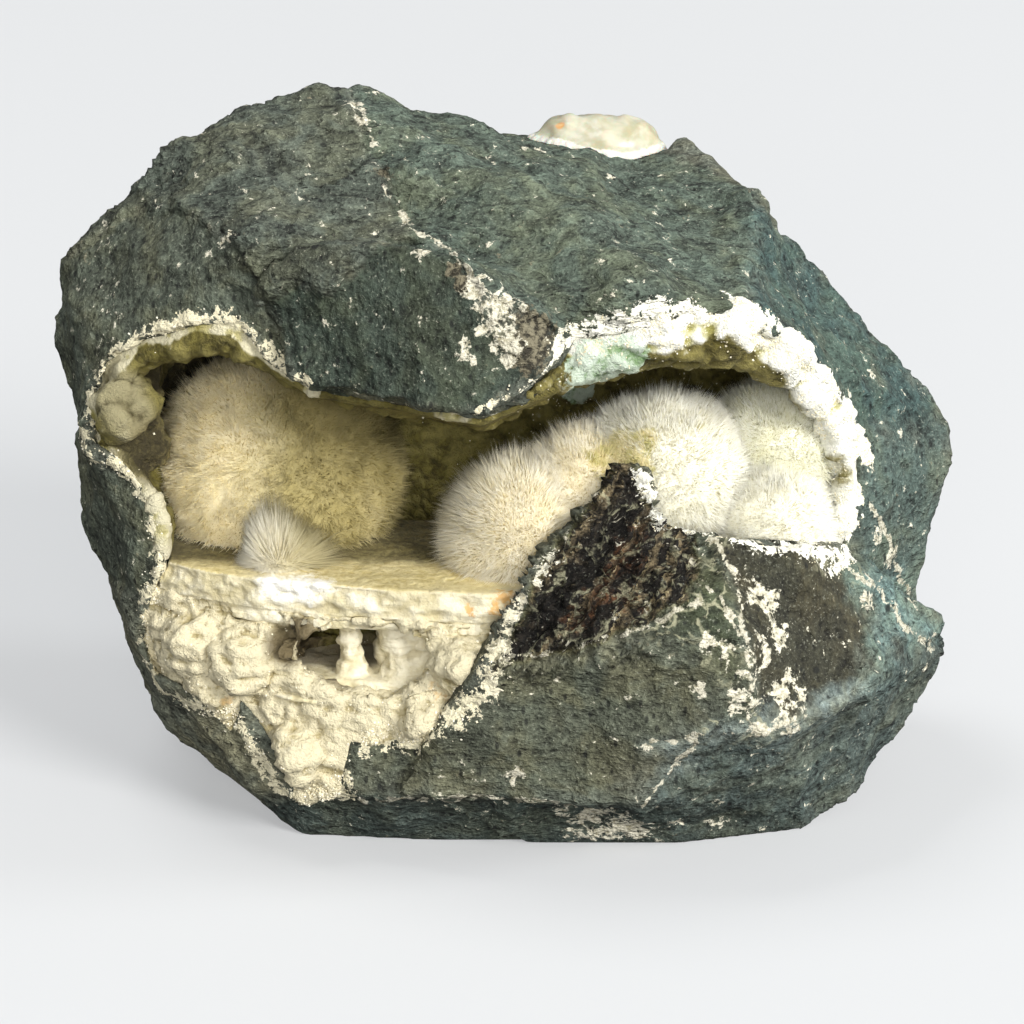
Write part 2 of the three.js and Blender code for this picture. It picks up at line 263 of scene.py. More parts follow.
# meshes as arrays, in millimetres
def corners(piece):
    flat = np.empty(len(piece.data.vertices) * 3)
    piece.data.vertices.foreach_get("co", flat)
    return flat.reshape(-1, 3) / mm


def surface(piece):  # the corners and the way out at each
    flat = np.empty(len(piece.data.vertices) * 3)
    piece.data.vertex_normals.foreach_get("vector", flat)
    return corners(piece), flat.reshape(-1, 3)


def push(piece, points, facing, lift):
    piece.data.vertices.foreach_set("co", ((points + facing * lift[:, None]) * mm).ravel())
    piece.data.update()


def note(piece, name, values):  # a number at each corner, for the material
    made = piece.data.attributes.new(name, "FLOAT", "POINT")
    made.data.foreach_set("value", np.asarray(values, float))


def solidCopy(node, name):
    made = bmesh.new()
    made.from_mesh(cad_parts[node].data)
    bmesh.ops.remove_doubles(made, verts=made.verts, dist=1e-7)
    mesh = bpy.data.meshes.new(name)
    made.to_mesh(mesh)
    made.free()
    piece = bpy.data.objects.new(name, mesh)
    bpy.context.collection.objects.link(piece)
    return piece


def settle(piece):  # applies a piece's modifiers
    made = bpy.data.meshes.new_from_object(piece.evaluated_get(bpy.context.evaluated_depsgraph_get()))
    piece.modifiers.clear()
    old, piece.data = piece.data, made
    bpy.data.meshes.remove(old)


def soften(piece, times):
    smooth = piece.modifiers.new("smooth", "SMOOTH")
    smooth.factor, smooth.iterations = 0.5, times
    settle(piece)


def remesh(piece, voxel):
    grid = piece.modifiers.new("grid", "REMESH")
    grid.mode, grid.voxel_size = "VOXEL", voxel * mm
    settle(piece)


def trianglesOf(piece):
    return sum(len(p.vertices) - 2 for p in piece.data.polygons)


def thin(piece, triangles, group=""):
    cut = piece.modifiers.new("cut", "DECIMATE")
    cut.vertex_group = group
    cut.ratio = min(1.0, triangles / trianglesOf(piece))
    settle(piece)


def ellipsoid(made, middle, radii, fineness):
    ball = bmesh.ops.create_icosphere(made, subdivisions=fineness, radius=1)["verts"]
    bmesh.ops.scale(made, verts=ball, vec=Vector(radii) * mm)
    bmesh.ops.translate(made, verts=ball, vec=Vector(middle) * mm)


def addEllipsoids(piece, ellipsoids, fineness):  # so that a remesh joins them to the piece
    made = bmesh.new()
    made.from_mesh(piece.data)
    for middle, radii in ellipsoids:
        ellipsoid(made, middle, radii, fineness)
    made.to_mesh(piece.data)
    made.free()


def dress(piece, look, slot, *nodes, smooth=True):
    piece.data.materials.clear()
    piece.data.materials.append(look)
    piece.data.polygons.foreach_set("use_smooth", [smooth] * len(piece.data.polygons))
    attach(piece, "root")
    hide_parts(*nodes)
    print(piece.name, trianglesOf(piece), "triangles")


# where a mark at a pixel lies on the solids
def distances(points, tree):
    return np.array([tree.find_nearest(Vector(p) * mm)[3] / mm for p in points])


def treeOf(*names):
    points, faces = [], []
    for name in names:
        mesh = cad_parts[name].data
        faces += [[v + len(points) for v in p.vertices] for p in mesh.polygons]
        points += [v.co.copy() for v in mesh.vertices]
    return BVHTree.FromPolygons(points, faces)


wholeTree = treeOf(*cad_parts)
mouthWay = np.array([0.0, -0.94, 0.34])  # out of the mouth, to the camera


def touched(x, y):
    share = shot["pixel"] / shot["distance"]
    half = shot["side"] / 2
    ray = ahead + Vector((1, 0, 0)) * ((x - half) * share) + upward * ((half - y) * share)
    hit = wholeTree.ray_cast(cameraPlace, ray.normalized())[0]
    return None if hit is None else np.array(hit) / mm


def nearMarks(points, marks, spread=1):  # 1 at a mark (pixel x, y, radius), 0 off it
    most = np.zeros(len(points))
    for x, y, radius in marks:
        middle = touched(x, y)
        if middle is not None:
            most = np.maximum(most, 1 - np.linalg.norm(points - middle, axis=1) / (spread * radius))
    return most


def nearLine(points, line, radius):  # the same along a line of pixels
    stops = [stop for stop in (touched(x, y) for x, y in line) if stop is not None]
    most = np.zeros(len(points))
    for one, two in zip(stops, stops[1:]):
        along = two - one
        share = np.clip((points - one) @ along / max(along @ along, 1e-6), 0, 1)
        away = np.linalg.norm(points - one - share[:, None] * along, axis=1)
        most = np.maximum(most, 1 - away / radius)
    return most


def seenAt(points):  # the pixel where each point shows
    away = points - np.array(cameraPlace) / mm
    scale = shot["distance"] / shot["pixel"] / (away @ np.array(ahead))
    return shot["side"] / 2 + away[:, 0] * scale, shot["side"] / 2 - away @ np.array(upward) * scale


def pixelsFrom(x, y, one, two):  # how far pixels lie from a stroke between two others
    (x1, y1), (x2, y2) = one, two
    share = ((x - x1) * (x2 - x1) + (y - y1) * (y2 - y1)) / ((x2 - x1) ** 2 + (y2 - y1) ** 2)
    share = np.clip(share, 0, 1)
    return np.hypot(x - x1 - share * (x2 - x1), y - y1 - share * (y2 - y1))


def inside(points, facing, outline):  # millimetres inside an outline of pixels, on the side one sees
    x, y = seenAt(points)
    least, odd = np.full(len(points), 1e6), np.zeros(len(points), bool)
    for one, two in zip(outline, outline[1:] + outline[:1]):
        least = np.minimum(least, pixelsFrom(x, y, one, two))
        (x1, y1), (x2, y2) = one, two
        odd ^= ((y1 > y) != (y2 > y)) & (x < (x2 - x1) * (y - y1) / (y2 - y1 + 1e-9) + x1)
    return np.minimum(np.where(odd, least, -least), 40 * (facing @ mouthWay)) * shot["pixel"]


def drawn(points, facing, line, radius):  # 1 on a line of pixels, 0 from its radius on, over all bumps
    x, y = seenAt(points)
    away = np.min([pixelsFrom(x, y, one, two) for one, two in zip(line, line[1:])], axis=0) * shot["pixel"]
    return np.clip(1 - away / radius, 0, 1) * (facing @ mouthWay > -0.1) * (nearLine(points, line, 9) > 0)


def strew(name, shape, roots, aims, widths, lengths, turns):  # many small closed shapes in one mesh
    shapePoints, shapeFaces = shape
    count, size = len(roots), len(shapePoints)
    aims = aims / np.linalg.norm(aims, axis=1, keepdims=True)
    side = np.cross(aims, np.where(np.abs(aims[:, 2:]) < 0.8, [[0.0, 0.0, 1.0]], [[1.0, 0.0, 0.0]]))
    side /= np.linalg.norm(side, axis=1, keepdims=True)
    cross = np.cross(aims, side)
    cosine, sine = np.cos(turns)[:, None], np.sin(turns)[:, None]
    side, cross = side * cosine + cross * sine, cross * cosine - side * sine
    x, y, z = (shapePoints[None, :, i, None] for i in range(3))
    wide, tall = widths[:, None, None], lengths[:, None, None]
    points = roots[:, None] + x * wide * side[:, None] + y * wide * cross[:, None]
    points += z * tall * aims[:, None]
    faces = (shapeFaces[None] + size * np.arange(count)[:, None, None]).reshape(-1, shapeFaces.shape[1])
    mesh = bpy.data.meshes.new(name)
    mesh.vertices.add(count * size)
    mesh.vertices.foreach_set("co", (points * mm).ravel())
    mesh.loops.add(faces.size)
    mesh.loops.foreach_set("vertex_index", faces.ravel())
    mesh.polygons.add(len(faces))
    mesh.polygons.foreach_set("loop_start", np.arange(0, faces.size, faces.shape[1]))
    mesh.update(calc_edges=True)
    piece = bpy.data.objects.new(name, mesh)
    bpy.context.collection.objects.link(piece)
    return piece


def uneven(rng, count):  # how much each grain or needle differs from the common size
    return 0.7 + 0.6 * rng.random(count)


def shapeOf(made):  # a small bmesh as arrays, one unit tall from its root
    bmesh.ops.remove_doubles(made, verts=made.verts, dist=1e-5)
    bmesh.ops.recalc_face_normals(made, faces=made.faces)
    bmesh.ops.triangulate(made, faces=made.faces)
    points = np.array([v.co[:] for v in made.verts])
    faces = np.array([[v.index for v in face.verts] for face in made.faces])
    made.free()
    return points, faces


needleMade = bmesh.new()
bmesh.ops.create_cone(needleMade, cap_ends=True, segments=3, radius1=1, radius2=0, depth=1)
bmesh.ops.translate(needleMade, verts=needleMade.verts, vec=(0, 0, 0.5))
needleShape = shapeOf(needleMade)
grainMade = bmesh.new()
bmesh.ops.create_cube(grainMade, size=1)
bmesh.ops.scale(grainMade, verts=grainMade.verts, vec=(1, 0.8, 1))
grainShape = shapeOf(grainMade)
fullTurn = 6.28
print("needle and grain shapes")


# rock
rock = {
    "voxel": 0.5, "triangles": 194000, "keep": 0.3, "ledge": 2.8, "ledgeDepth": 2.2, "steps": 1.0,
    "layerWays": {"ledges": (0.7, 0.25, -0.67), "strata": (-0.3, 0.3, 0.9)},
    "scoops": [(17.0, 0.95, 4), (6.5, 0.42, 9), (2.8, 0.16, 13)],  # size, depth, seed
    "hackle": 0.42, "hackleSize": 3.0, "grit": 0.45, "vein": 0.9, "ridge": 2.0, "spill": 2.2,
    "bend": 1.4, "wander": 0.9, "foot": (0.2, 3.0), "layerShare": {"ledges": 1.0, "strata": 0.35},
    "ridges": [  # line, height, reach
        ([(75, 255), (130, 213), (176, 210), (240, 247), (264, 288), (272, 304)], 0.9, 4),
        ([(272, 304), (300, 290), (330, 293), (363, 263), (385, 240), (420, 238), (458, 254), (485, 292)],
          1.1, 4.5),
        ([(757, 200), (754, 240), (752, 290), (756, 325)], 1.0, 5),
        ([(300, 795), (400, 797), (480, 795), (560, 803), (640, 800)], 0.9, 4),
        ([(640, 748), (700, 732), (790, 725), (865, 685), (890, 640)], 1.2, 5),
        ([(500, 668), (560, 662), (603, 659), (653, 632)], 0.8, 4),
        ([(545, 560), (590, 515), (640, 525), (690, 560), (740, 640)], 0.9, 5),
        ([(205, 120), (260, 130), (330, 160), (400, 175)], 0.8, 5),
        ([(215, 235), (300, 215), (380, 205)], -0.9, 6),
        ([(480, 130), (540, 190), (600, 250), (640, 290)], 0.7, 6),
        ([(560, 700), (640, 690), (700, 660)], -0.7, 8),
        ([(440, 200), (520, 265), (560, 300)], -1.0, 7),
        ([(790, 560), (850, 620), (860, 690)], 0.9, 5),
    ],
    "tone": "#575b51",
    "faces": [  # outline, how far it is knocked back, tone, traits
        ([(50, 250), (100, 200), (150, 150), (205, 115), (290, 80), (345, 80), (362, 130), (385, 180),
          (400, 215), (417, 240), (385, 240), (363, 263), (331, 295), (295, 285), (272, 304), (264, 285),
          (240, 247), (176, 208), (130, 213), (75, 254)], -0.2, "#494f46", ("torn",)),
        ([(40, 262), (75, 254), (130, 213), (176, 208), (240, 247), (264, 285), (272, 304), (292, 370),
          (262, 345), (235, 322), (190, 320), (130, 342), (96, 375), (80, 455), (140, 485), (160, 525),
          (150, 600), (60, 560)], 0.55, "#4b5146", ("pitted", "combed")),
        ([(272, 304), (295, 285), (331, 295), (363, 263), (385, 240), (417, 240), (458, 254), (478, 290),
          (500, 350), (535, 372), (480, 412), (400, 400), (312, 395), (292, 370)], 0.5, "#374037",
          ("combed",)),
        ([(362, 130), (345, 80), (380, 90), (520, 125), (660, 150), (757, 192), (754, 240), (750, 315),
          (610, 325), (560, 340), (526, 308), (485, 292), (458, 254), (417, 240), (400, 215), (385, 180)],
          0.0, "#4a544a", ("torn",)),
        ([(757, 192), (800, 260), (860, 280), (950, 420), (850, 445), (815, 365), (790, 340), (750, 315),
         (754, 240)], 0.5, "#3b4d4a", ("pitted", "soft")),
        ([(845, 440), (950, 420), (940, 560), (895, 600), (850, 565)], 0.3, "#4a5751", ("pitted", "soft")),
        ([(495, 668), (545, 560), (585, 505), (605, 455), (630, 455), (645, 500), (690, 520), (702, 560),
          (685, 600), (640, 625), (600, 642), (560, 655)], 0.4, "#5e5b34", ("ledges",)),
        ([(640, 505), (700, 518), (790, 540), (850, 575), (790, 545), (712, 545), (735, 590), (745, 640),
          (765, 732), (700, 732), (735, 690), (700, 650), (653, 632), (640, 625), (685, 600), (702, 560),
          (690, 525)], 0.1, "#3c4231", ("veined", "soft")),
        ([(712, 540), (790, 540), (850, 580), (870, 620), (858, 680), (800, 722), (765, 732), (745, 640),
         (735, 590)], 0.5, "#333227", ("combed",)),
        ([(692, 738), (790, 725), (865, 685), (895, 640), (950, 640), (930, 700), (880, 770), (815, 835),
          (700, 838), (640, 815), (655, 795)], 0.5, "#454f4b", ("pitted", "combed", "soft")),
        ([(846, 575), (905, 575), (955, 640), (895, 642), (868, 690), (872, 620)], 0.2, "#5d706c",
          ("torn", "soft")),
        # a pale bluish band along the lower ridge: painted highlight
        ([(645, 742), (662, 732), (700, 726), (790, 720), (862, 684), (795, 730), (712, 737), (690, 752),
         (668, 758)], 0.0, "#6c7774", ("soft",)),
        ([(290, 792), (345, 735), (455, 712), (500, 668), (603, 659), (653, 632), (700, 650), (735, 690),
          (700, 732), (632, 748), (610, 802), (480, 796)], -0.3, "#515548", ("pitted", "soft")),
        ([(100, 600), (148, 600), (160, 690), (190, 705), (230, 712), (255, 745), (280, 790), (300, 800),
          (240, 820), (150, 750), (100, 650)], 0.2, "#6e7162", ("pitted", "soft")),
        ([(240, 805), (300, 796), (480, 797), (620, 806), (800, 815), (780, 900), (260, 900)], 0.7,
         "#3e4742", ("pitted",)),
    ],
    "ledges": [(560, 590, 13), (600, 530, 12), (640, 560, 10), (530, 640, 8), (690, 560, 7), (620, 620, 9)],
    "strata": [(200, 160, 12), (300, 165, 14), (250, 250, 10), (330, 230, 9), (390, 175, 8)],
    "cream": [(757, 592, 2.2), (768, 602, 2.0), (752, 650, 2.0), (745, 664, 2.0), (742, 690, 2.0),
              (750, 708, 1.8), (782, 690, 1.8), (792, 702, 1.8), (786, 722, 1.6), (758, 722, 1.6),
              (777, 632, 1.7), (735, 672, 1.4), (710, 640, 1.2), (700, 690, 0.9), (728, 645, 1.2),
              (497, 305, 2.4), (490, 325, 2.0), (503, 343, 2.2), (482, 290, 1.8), (358, 108, 1.6),
              (364, 122, 1.4), (600, 826, 4.0), (575, 812, 2.8), (632, 832, 2.8), (680, 828, 1.2),
              (720, 830, 1.0), (515, 776, 1.4), (464, 345, 1.0), (463, 354, 0.8), (478, 362, 0.8),
              (230, 240, 1.0), (440, 790, 0.8), (560, 143, 0.8), (540, 152, 1.0), (545, 165, 0.8),
              (565, 182, 0.9), (580, 176, 0.8), (610, 175, 0.7), (648, 745, 0.9), (866, 598, 1.3),
              (930, 640, 1.2), (925, 670, 1.0), (420, 250, 1.2), (98, 355, 1.8), (895, 560, 1.2),
              (878, 540, 1.0)],
    "creamLines": [([(362, 105), (368, 125), (374, 145)], 0.7), ([(385, 185), (395, 205), (408, 222),
                   (425, 238)], 0.6),
                   ([(425, 235), (450, 250), (470, 272), (490, 295)], 0.8),
                   ([(700, 735), (675, 765), (655, 790), (645, 808)], 0.45),
                   ([(640, 742), (700, 735), (760, 735), (800, 728)], 0.45),
                   ([(300, 797), (400, 800), (470, 797), (560, 803)], 0.45),
                   ([(870, 505), (890, 540), (900, 580), (915, 600)], 0.6),
                   ([(850, 570), (880, 590), (905, 625), (930, 650)], 0.7),
                   ([(500, 660), (545, 652), (600, 642), (650, 625), (700, 600)], 0.6),
                   ([(690, 520), (722, 548), (738, 592), (746, 640)], 0.4),
                   ([(645, 500), (700, 522), (760, 540), (815, 552)], 0.5),
                   ([(500, 650), (530, 590), (560, 545), (595, 490), (618, 458)], 0.5),
                   ([(690, 560), (720, 600), (745, 640), (752, 680)], 0.5)],
    "rust": [(535, 335, 3.6), (530, 360, 2.4), (386, 178, 1.6), (462, 285, 1.4), (455, 270, 1.2)],
    "red": [(625, 560, 3.4), (605, 590, 3.4), (580, 620, 2.6), (640, 535, 2.2), (630, 600, 2.6)],
    "slate": (4.0, 2.2, 1.0), "leaf": 1.2,  # how the rotten leaves are drawn out, and how thick one is
    "blur": (0.8, 3.2),  # half the width of a face's border, sharp and soft
    "rim": [([(85, 455), (90, 410), (96, 375), (130, 342), (190, 320), (235, 322), (262, 345),
              (290, 368)], 1.7),
            ([(290, 368), (306, 380), (312, 392)], 1.0),
            ([(85, 455), (118, 462), (140, 485), (155, 500), (160, 525), (162, 560), (150, 600)], 1.8),
            ([(150, 600), (148, 650), (160, 690), (190, 705), (230, 712), (255, 745), (280, 790),
              (310, 797), (345, 790)], 1.6),
            ([(345, 790), (350, 745), (375, 735), (420, 738), (455, 715), (490, 690), (498, 650)], 2.4),
            ([(450, 414), (480, 410), (520, 385), (560, 355)], 0.8),
            ([(560, 345), (580, 335), (610, 325), (650, 322), (700, 315), (750, 315), (790, 340),
              (815, 365), (832, 400), (846, 430)], 2.4),
            ([(600, 322), (625, 308), (655, 305), (700, 312)], 1.8),
            ([(846, 430), (856, 470), (850, 520), (848, 555), (830, 570)], 1.7),
            ([(500, 640), (525, 590), (550, 560), (585, 515)], 1.3),
            ([(640, 478), (652, 500), (660, 520), (700, 525), (740, 535), (800, 548), (840, 560)], 1.7)],
}


def layerPhase(points, trait):  # 0 to 1 across each layer of the torn stone
    along = points @ np.array(rock["layerWays"][trait]) + 1.4 * softNoise(points, 16, 2, 31)
    layers = along / rock["ledge"] + 0.8 * softNoise(points, 5, 4, 37, 0.6)
    return layers - np.floor(layers)


def stepped(points, size, count, seed):  # broken steps as on torn stone, about -1 to 1
    field = softNoise(points * np.array([0.6, 0.75, 1.25]), size, 4, seed, 0.6) * count
    rise = field - np.floor(field)
    return (np.floor(field) + eased(rise, 0.0, 0.3)) / count


def spillShare(points):  # how near the mouth's rim, where white crystals spill out on the rock
    return np.max([nearLine(points, line, rock["spill"] * radius) for line, radius in rock["rim"]], axis=0)


rockPiece = solidCopy("basalt_matrix", "basaltBody")
remesh(rockPiece, rock["voxel"])
points, facing = surface(rockPiece)
footing = eased(points[:, 2], *rock["foot"])  # the base stays flat
bent = points + rock["bend"] * wave(points, 6, 3)
wander = rock["wander"] * softNoise(points, 4, 3, 95)
shares = [eased(inside(points, facing, outline) + wander, -0.35, 0.35) for outline, *_ in rock["faces"]]
torn = 0.35 + 0.65 * sum(share * ("torn" in face[3]) for share, face in zip(shares, rock["faces"]))
fine = sum(scoops(bent, size, depth, seed) for size, depth, seed in rock["scoops"][1:])
broken = 0.25 + 0.75 * eased(softNoise(points, 11, 2, 27), -0.15, 0.35)
hackly = softNoise(points * np.array([0.8, 0.85, 1.3]), rock["hackleSize"], 3, 21, 0.6)
fine += rock["hackle"] * broken * hackly
lift = fine + scoops(bent, *rock["scoops"][0]) - 0.3
lift += rock["steps"] * torn * stepped(bent, 15, 5, 61)
for line, height, reach in rock["ridges"]:
    lift += height * nearLine(bent, line, reach)
for trait, depth in rock["layerShare"].items():
    within = eased(nearMarks(points, rock[trait]), 0.05, 0.4)
    lift += rock["ledgeDepth"] * depth * (layerPhase(points, trait) ** 2 - 0.35) * within
gritty = softNoise(points, 2.4, 3, 73, 0.6)
lift += rock["grit"] * gritty * eased(nearMarks(points, rock["ledges"]), 0.05, 0.4)
for share, face in zip(shares, rock["faces"]):
    lift -= face[1] * share
druseTree, rockTree = treeOf("vug_druse"), treeOf("basalt_matrix")
inner = distances(points, druseTree)
hidden = 1 - eased(inner, 0.35, 1.2)  # what lies against the druse stays plain
lift = lift * footing * (1 - 0.85 * hidden) + 0.25 * hidden
push(rockPiece, points, facing, lift)
# the relief is kept for the material's painted shade and highlight
note(rockPiece, "relief", 0.5 + 0.5 * np.clip(fine, -1, 1))
loose = rockPiece.vertex_groups.new(name="loose")  # the back and the hidden side are thinned more
front = (facing @ mouthWay > -0.3) & (hidden < 0.5)
loose.add(np.flatnonzero(front).tolist(), rock["keep"], "REPLACE")
loose.add(np.flatnonzero(~front).tolist(), 1.0, "REPLACE")
thin(rockPiece, rock["triangles"], "loose")
points, facing = surface(rockPiece)
crooked = points + 0.5 * wave(points, 3, 15, 3)
drawnLines = {
    "vein": [(line, rock["vein"] + 0.8 * radius) for line, radius in rock["creamLines"]],
    # ridge: the crests that the material paints lighter as highlight
    "ridge": [(line, rock["ridge"]) for line, height, _ in rock["ridges"] if height > 0],
}
note(rockPiece, "spill", spillShare(points))
for trait, lines in drawnLines.items():
    note(rockPiece, trait, np.max([drawn(crooked, facing, *line) for line in lines], axis=0))
for trait, spread in (("cream", 2), ("rust", 1.5), ("red", 1.5)):
    note(rockPiece, trait, nearMarks(points, rock[trait], spread))
wander = 1.1 * softNoise(points, 5, 4, 95, 0.6)
shares = []
for outline, _, _, traits in rock["faces"]:
    blur = rock["blur"][1 if "soft" in traits else 0]
    shares.append(eased(inside(points, facing, outline) + wander * (1 + blur) * 0.5, -blur, blur))
stone = np.tile(tone(rock["tone"]), (len(points), 1))
for share, (_, _, code, _) in zip(shares, rock["faces"]):
    stone += share[:, None] * (np.array(tone(code)) - stone)
stoneNote = rockPiece.data.color_attributes.new("stone", "FLOAT_COLOR", "POINT")
stoneNote.data.foreach_set("color", stone.ravel())
for trait in ("torn", "combed", "pitted", "ledges", "veined"):
    own = [share * (trait in face[3]) for share, face in zip(shares, rock["faces"])]
    note(rockPiece, trait, np.max(own, axis=0))


def basaltLook():
    look = Look("basalt")
    grain = look.noise(0.42, 3, 0.65)
    speck = look.noise(0.95, 3, 0.65, 0.2)
    mottle = look.noise(2.6, 3, 0.65, 0.5)
    patchy = look.noise(9, 3, 0.6, 0.5)
    combed = look.noise(1.0, 3, 0.6, 0.2, look.stretch((1.3, 1.2, 0.42), (0.0, 0.2, 0.0)))
    swept = look.noise(1.3, 3, 0.65, 0.25, look.stretch((0.5, 0.7, 1.3), (0.1, 0.15, 0.0)))
    torn, plain = look["torn"], look["combed"]
    stone = look.node("ShaderNodeAttribute", {"attribute_name": "stone"})
    wide = look.noise(15, 2, 0.5, 0.3)
    base = look.mix(patchy.step(0.42, 0.62) * 0.7, stone, look.tinted(stone, (1.13, 0.99, 0.8, 1)))
    base = look.mix(wide.step(0.45, 0.62) * 0.6, base, look.tinted(base, (0.95, 0.99, 1.0, 1)))
    rungs = look.noise(8.5, 3, 0.55, 0.15, look.stretch((0.5, 0.75, 1.3))) * 9  # torn steps
    rung = rungs.sum("FRACT", rungs)
    climb = rungs - rung + rung.step(0.0, 0.16)
    # lip and nook are each step's edge and foot, for painted highlight and painted shade
    lip = rung.step(0.0, 0.12) * rung.step(0.5, 0.12)
    nook = rung.step(0.78, 1.0) + rung.step(0.05, 0.0)
    steep = torn * 0.8 + 0.2
    bedWay = rock["layerWays"]["ledges"]
    turn = tuple(Vector(bedWay).to_track_quat("Z", "Y").to_euler())
    slate = {"Vector": look.place, "Rotation": turn, "Scale": rock["slate"]}
    slate = look.node("ShaderNodeMapping", {"vector_type": "TEXTURE"}, slate)
    bed = {0: look.place, 1: bedWay}
    leaves = look.node("ShaderNodeVectorMath", {"operation": "DOT_PRODUCT"}, bed, "Value")
    leaves = leaves * (1 / (rock["leaf"] * mm)) + look.noise(10, 3, 0.45, 0.3, slate) * 5
    leaves = leaves + look.noise(1.9, 3, 0.65, 0.4) * 2.4
    leaf = leaves.sum("FRACT", leaves)
    split = look["ledges"]
    ledges = split * (mottle * 0.6 + patchy * 0.6 + split * 0.5).step(0.8, 0.95)
    streak = swept * (1 - plain) + combed * plain
    shade = (speck - 0.5) * 1.9 + (grain - 0.5) * 1.7 + (streak - 0.5) * 2.2 + (mottle - 0.5) * 1.5
    # the relief term paints shade into the stone's hollows and light onto its knobs
    shade = shade + (patchy - 0.5) * 1.1 + (look["relief"] - 0.5) * 0.9
    # lips of the torn steps painted lighter as highlight, their nooks darker as painted shade
    shade = shade + (lip * 0.4 - nook * 0.35) * steep + 0.98
    # ridge crests painted lighter, a painted highlight
    ridge = look["ridge"] + (mottle - 0.5) * 0.9 + (speck - 0.5) * 0.6
    shade = (shade + ridge.step(0.55, 0.9) * 0.35).most(0.2)
    own = look.node("ShaderNodeTexWhiteNoise", {"noise_dimensions": "1D"}, {"W": leaves - leaf})
    own = own * 0.5 + speck * 0.4 + mottle * 0.5 + look.noise(1.1, 2, 0.6, 0.1, slate) * 0.5
    rotten = look.mix(own.step(0.75, 1.25), "#1d1914", "#75684f")
    rotten = look.mix((look["red"] * 0.5 + mottle - 0.66).step(0.0, 0.3) * 0.8, rotten, "#55361f")
    # a pale seam on each leaf's lip, partly a cream vein and partly painted highlight
    seam = leaf.step(0.0, 0.1) * leaf.step(0.3, 0.1) * own.step(0.85, 1.1) * mottle.step(0.42, 0.56)
    rotten = look.mix(seam, rotten, "#a89b76")
    # each leaf darkens to near black before the next step: painted shade in the crack
    rotten = look.mix(leaf.step(0.6, 0.98) * 0.8, rotten, "#0b0a08")
    base = look.mix(ledges, base, rotten)
    base = look.tinted(base, shade)
    base = look.mix(grain.step(0.58, 0.7) * 0.3, base, "#a9ac9c")
    long = look.stretch((1.25, 1.1, 0.62), (0.0, 0.35, 0.0))
    chosen = (look.choice(1.75, long) + look["pitted"] * 0.3).step(0.78, 0.84)
    pits = (1 - look.cells(1.75, place=long).step(0.14, 0.27)) * chosen
    pits = pits.most((1 - look.cells(6.2).step(0.06, 0.12)) * look.choice(6.2).step(0.5, 0.56))
    # pits painted near black: painted shade inside the hollows
    base = look.mix(pits * 0.75, base, "#101212")
    rust = (look["rust"] * 0.9 + mottle * 1.4 + speck * 0.8 - 1.35).step(0.0, 0.2)
    base = look.mix(rust * 0.9, base, look.mix(speck.step(0.4, 0.6), "#2a251b", "#7b745f"))
    warp = {"Vector": look.place, "Scale": 1 / (3 * mm), "Detail": 2.0}
    warp = {0: look.node("ShaderNodeTexNoise", {}, warp, "Color"), 1: (0.005, 0.005, 0.005), 2: look.place}
    warped = look.node("ShaderNodeVectorMath", {"operation": "MULTIPLY_ADD"}, warp)
    border = look.cells(6.0, "DISTANCE_TO_EDGE", place=warped)
    net = (1 - border.step(0.02, 0.07)) * (look["veined"] + ledges * 0.8)
    base = look.mix(net * mottle.step(0.42, 0.54) * 0.75, base, "#a7a588")
    ragged = look.noise(2.4, 4, 0.7, 0.6)
    crust = (look["spill"] * 1.2 + ragged * 2.1 + speck * 0.9 + grain * 0.3 - 2.45).step(0.0, 0.1)
    cream = (look["cream"] * 0.6 + ragged * 1.7 + mottle * 0.7 + speck * 0.9 - 1.92).step(0.0, 0.16)
    vein = (look["vein"] + (mottle - 0.5) * 1.9 + (speck - 0.5) * 0.8).step(0.78, 0.9)
    flecks = (look.noise(1.6, 4, 0.7) + look["spill"] * 0.12).step(0.735, 0.75)
    white = crust.most(cream).most(vein * 0.85).most(flecks)
    creamTone = look.mix((speck * 0.6 + grain * 0.4).step(0.36, 0.6), "#8f8970", "#dbd6c2")
    crustTone = look.mix(look.fromLeft(-0.006, 0.014), "#e2dabb", "#f2f0e2")
    crustTone = look.mix((speck * 0.5 + grain * 0.5).step(0.48, 0.36) * 0.5, crustTone, "#a8a27c")
    base = look.mix(white, base, look.mix(crust, creamTone, crustTone))
    fine = look.bump(speck * 0.9 + grain * 0.35 + streak * 0.5, 0.55)
    steps = climb * steep * 0.22 * (1 - split) + split * (leaf.step(0.0, 0.14) - leaf) * 0.9
    coarse = look.bump(steps + mottle * 0.8 + swept * (0.6 - plain * 0.45), 1.0, Normal=fine)
    rough = 0.72 + grain * 0.18 + white * 0.1
    return look.finish(Base_Color=base, Roughness=rough, Normal=coarse, Specular_IOR_Level=0.3)


dress(rockPiece, basaltLook(), "basalt", "basalt_matrix")


